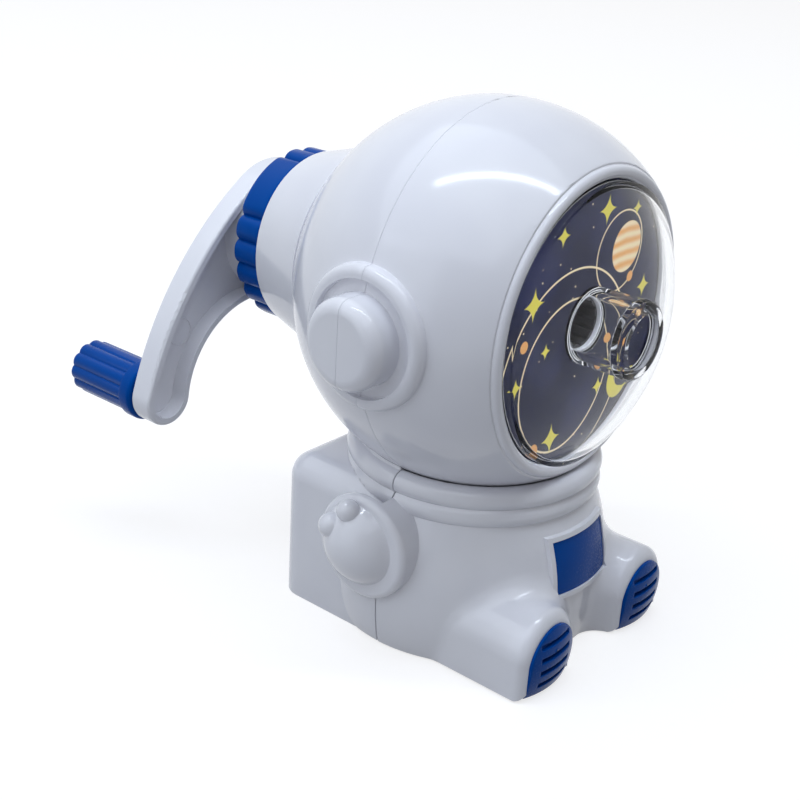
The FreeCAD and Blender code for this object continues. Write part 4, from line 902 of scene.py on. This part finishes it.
class DressKnob(bpy.types.Operator):
    """Turn the knob and sink its flutes"""
    bl_idname = "sharpener.knob"
    bl_label = "Knob"

    def execute(self, context):
        size = sizes()
        tall = KNOB_HIGH.y - KNOB_LOW.y
        seat = tall - size.knob_recess_depth
        outline = rounded_outline((
            (size.knob_bore, 0.0, size.fine_round), (size.knob_collar, 0.0, size.knob_round),
            (size.knob_collar, size.knob_collar_length, size.edge_round * 2),
            (size.knob_radius, size.knob_collar_length, 0.0),
            (size.knob_radius, size.knob_collar_length + size.knob_run_in, 0.0),
            (size.knob_radius, tall, size.knob_round), (size.knob_recess, tall, size.edge_round),
            (size.knob_recess, seat, 0.0), (size.knob_bore, seat, 0.0)))
        knob = lathe("knob_fluted", outline, size.knob_segments)
        use_tree(knob, grip_grooves(), radius=size.knob_radius, depth=size.knob_depth,
                 narrowness=size.knob_narrow, pitch=2 * math.pi / size.knob_flutes, grooves=1,
                 groups=size.knob_flutes, skin=size.knob_skin, run_in=size.knob_run_in,
                 material=material_of("blue_plastic"), **{"from": size.knob_collar_length})
        knob.data.transform(along_y(KNOB_X, KNOB_LOW.y, KNOB_Z))
        shade(knob, size.crease)
        stand_for(knob, "knob")
        return {"FINISHED"}


class DressShellScrews(bpy.types.Operator):
    """Finish one shell screw and set it in the helmet's four bosses"""
    bl_idname = "sharpener.shell_screws"
    bl_label = "Shell screws"

    def execute(self, context):
        screws = moulded_copy("shell_screws", sizes().fine_round)
        corners = [v.co.copy() for v in screws.data.vertices if v.co.x > 0]
        upper = self.middle_of([p for p in corners if p.z > AXIS_HEIGHT])
        lower = self.middle_of([p for p in corners if p.z < AXIS_HEIGHT])
        shell = bmesh.new()
        shell.from_mesh(screws.data)
        others = [v for v in shell.verts if v.co.x < 0 or v.co.z < AXIS_HEIGHT]
        bmesh.ops.delete(shell, geom=others, context="VERTS")
        bmesh.ops.translate(shell, verts=shell.verts, vec=(-upper.x, 0.0, -upper.z))
        shell.to_mesh(screws.data)
        shell.free()
        use_tree(screws, corner_tree(), lower_across=lower.x, lower_height=lower.z,
                 upper_across=upper.x, upper_height=upper.z, material=material_of("steel"))
        stand_for(screws, "shell_screws")
        return {"FINISHED"}

    def middle_of(self, points):
        """Middle of the box round some points."""
        low = Vector(min(p[i] for p in points) for i in range(3))
        high = Vector(max(p[i] for p in points) for i in range(3))
        return (low + high) / 2


class DressWorks(bpy.types.Operator):
    """Finish the crank's fasteners, the gears and the cutter unit"""
    bl_idname = "sharpener.works"
    bl_label = "Fasteners and cutter unit"

    def execute(self, context):
        for node in ("crank_screw", "crank_washer", "knob_screw", "gear_sleeve", "carrier_end_plate",
                     "cutter_carrier", "cutter_axle", "axle_clip", "helical_cutter", "cutter_pinion"):
            stand_for(moulded_copy(node, sizes().fine_round), node)
        return {"FINISHED"}


class SetStage(bpy.types.Operator):
    """Make the camera, the floor and the soft light"""
    bl_idname = "sharpener.stage"
    bl_label = "Stage"

    def execute(self, context):
        scene = context.scene
        scene.view_settings.view_transform = "Standard"
        self.camera(scene)
        self.floor()
        self.world(scene)
        look = stage()
        self.lamp("key_light", look.key_place, (look.key_side, look.key_side), look.key_power,
                  (1.0, 0.0, 0.0))
        self.lamp("side_light", look.side_place, (look.side_side, look.side_side), look.side_power,
                  (0.0, 1.0, 0.0))
        # the strip lies slantwise over the helmet and draws the bright arc on it
        self.lamp("strip_light", look.strip_place, (look.strip_length, look.strip_width), look.strip_power,
                  look.strip_slant)
        return {"FINISHED"}

    def camera(self, scene):
        look = stage()
        a, e, r = look.azimuth, look.elevation, look.roll
        back = Vector((math.sin(a) * math.cos(e), -math.cos(a) * math.cos(e), math.sin(e)))
        right = Vector((math.cos(a), math.sin(a), 0.0))
        up = back.cross(right)
        turned_right = right * math.cos(r) + up * math.sin(r)
        turned_up = up * math.cos(r) - right * math.sin(r)
        data = bpy.data.cameras.new("photo_camera")
        data.lens = look.lens
        data.sensor_width = look.sensor
        data.clip_start = 0.01
        camera = bpy.data.objects.new("photo_camera", data)
        turn = Matrix((turned_right, turned_up, back)).transposed()
        camera.matrix_world = Matrix.Translation(look.eye) @ turn.to_4x4()
        scene.collection.objects.link(camera)
        scene.camera = camera

    def floor(self):
        shell = bmesh.new()
        bmesh.ops.create_grid(shell, x_segments=1, y_segments=1, size=stage().floor_half)
        mesh = bpy.data.meshes.new("floor")
        shell.to_mesh(mesh)
        shell.free()
        floor = link("floor", mesh)
        material, tree, shader, _ = new_material("pale_floor")
        shader.inputs["Base Color"].default_value = (*stage().floor, 1.0)
        shader.inputs["Roughness"].default_value = 0.6
        shader.inputs["Specular IOR Level"].default_value = 0.2
        glow = tree.nodes.new("ShaderNodeEmission")
        put(tree, glow.inputs["Strength"], math_node(tree, "MULTIPLY", seen_rays(tree), stage().floor_glow))
        both = tree.nodes.new("ShaderNodeAddShader")
        put(tree, both.inputs[0], shader.outputs["BSDF"])
        put(tree, both.inputs[1], glow.outputs["Emission"])
        put(tree, tree.nodes["Material Output"].inputs["Surface"], both.outputs["Shader"])
        mesh.materials.append(material)

    def world(self, scene):
        world = bpy.data.worlds.new("soft_studio")
        world.use_nodes = True
        scene.world = world
        tree = world.node_tree
        sky = tree.nodes["Background"]
        seen = seen_rays(tree)
        put(tree, sky.inputs["Color"], mix_colour(tree, seen, stage().world, (1.0, 1.0, 1.0)))
        put(tree, sky.inputs["Strength"], spread(tree, seen, 0.0, 1.0, stage().world_strength, 1.0))

    def lamp(self, name, place, size, power, along):
        """A rectangular lamp that shines at the helmet, with its first side laid along a direction."""
        data = bpy.data.lights.new(name, "AREA")
        data.shape = "RECTANGLE"
        data.size, data.size_y = size
        data.energy = power
        data.color = stage().lamp_tint
        lamp = bpy.data.objects.new(name, data)
        back = (Vector(place) - Vector((0.0, 0.0, AXIS_HEIGHT))).normalized()
        second = back.cross(Vector(along)).normalized()
        turn = Matrix((second.cross(back), second, back)).transposed()
        lamp.matrix_world = Matrix.Translation(place) @ turn.to_4x4()
        bpy.context.scene.collection.objects.link(lamp)


def seen_rays(tree):
    """1 for rays from the camera, and for those that gloss and clear plastic send on."""
    path = tree.nodes.new("ShaderNodeLightPath").outputs
    total = math_node(tree, "ADD", path["Is Camera Ray"], path["Is Glossy Ray"])
    return math_node(tree, "ADD", total, path["Is Transmission Ray"], clamp=True)


class SharpenerPanel(bpy.types.Panel):
    """Lists the pieces of the sharpener"""
    bl_idname = "VIEW3D_PT_sharpener"
    bl_label = "Pencil sharpener"
    bl_space_type = "VIEW_3D"
    bl_region_type = "UI"
    bl_category = "Sharpener"

    def draw(self, context):
        for operator in OPERATORS:
            self.layout.operator(operator.bl_idname)
        for group in (finish(), sizes(), stage()):
            for name in group.__annotations__:
                self.layout.prop(group, name)


OPERATORS = (DressShells, MarkCrank, DressVisor, DressCard, DressTrim, DressLockRing, DressKnob,
             DressShellScrews, DressWorks, SetStage)
GROUPS = {"sharpener_finish": SharpenerFinish, "sharpener_sizes": SharpenerSizes,
          "sharpener_stage": SharpenerStage}


def register():
    for cls in (*GROUPS.values(), *OPERATORS, SharpenerPanel):
        bpy.utils.register_class(cls)
    for name, cls in GROUPS.items():
        setattr(bpy.types.Scene, name, bpy.props.PointerProperty(type=cls))


def unregister():
    for name in GROUPS:
        delattr(bpy.types.Scene, name)
    for cls in (SharpenerPanel, *OPERATORS, *GROUPS.values()):
        bpy.utils.unregister_class(cls)


def main():
    register()
    bpy.ops.sharpener.shells()
    bpy.ops.sharpener.crank_mark()
    bpy.ops.sharpener.visor()
    bpy.ops.sharpener.card()
    bpy.ops.sharpener.trim()
    bpy.ops.sharpener.lock_ring()
    bpy.ops.sharpener.knob()
    bpy.ops.sharpener.shell_screws()
    bpy.ops.sharpener.works()
    bpy.ops.sharpener.stage()
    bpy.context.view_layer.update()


if __name__ == "__main__":
    main()
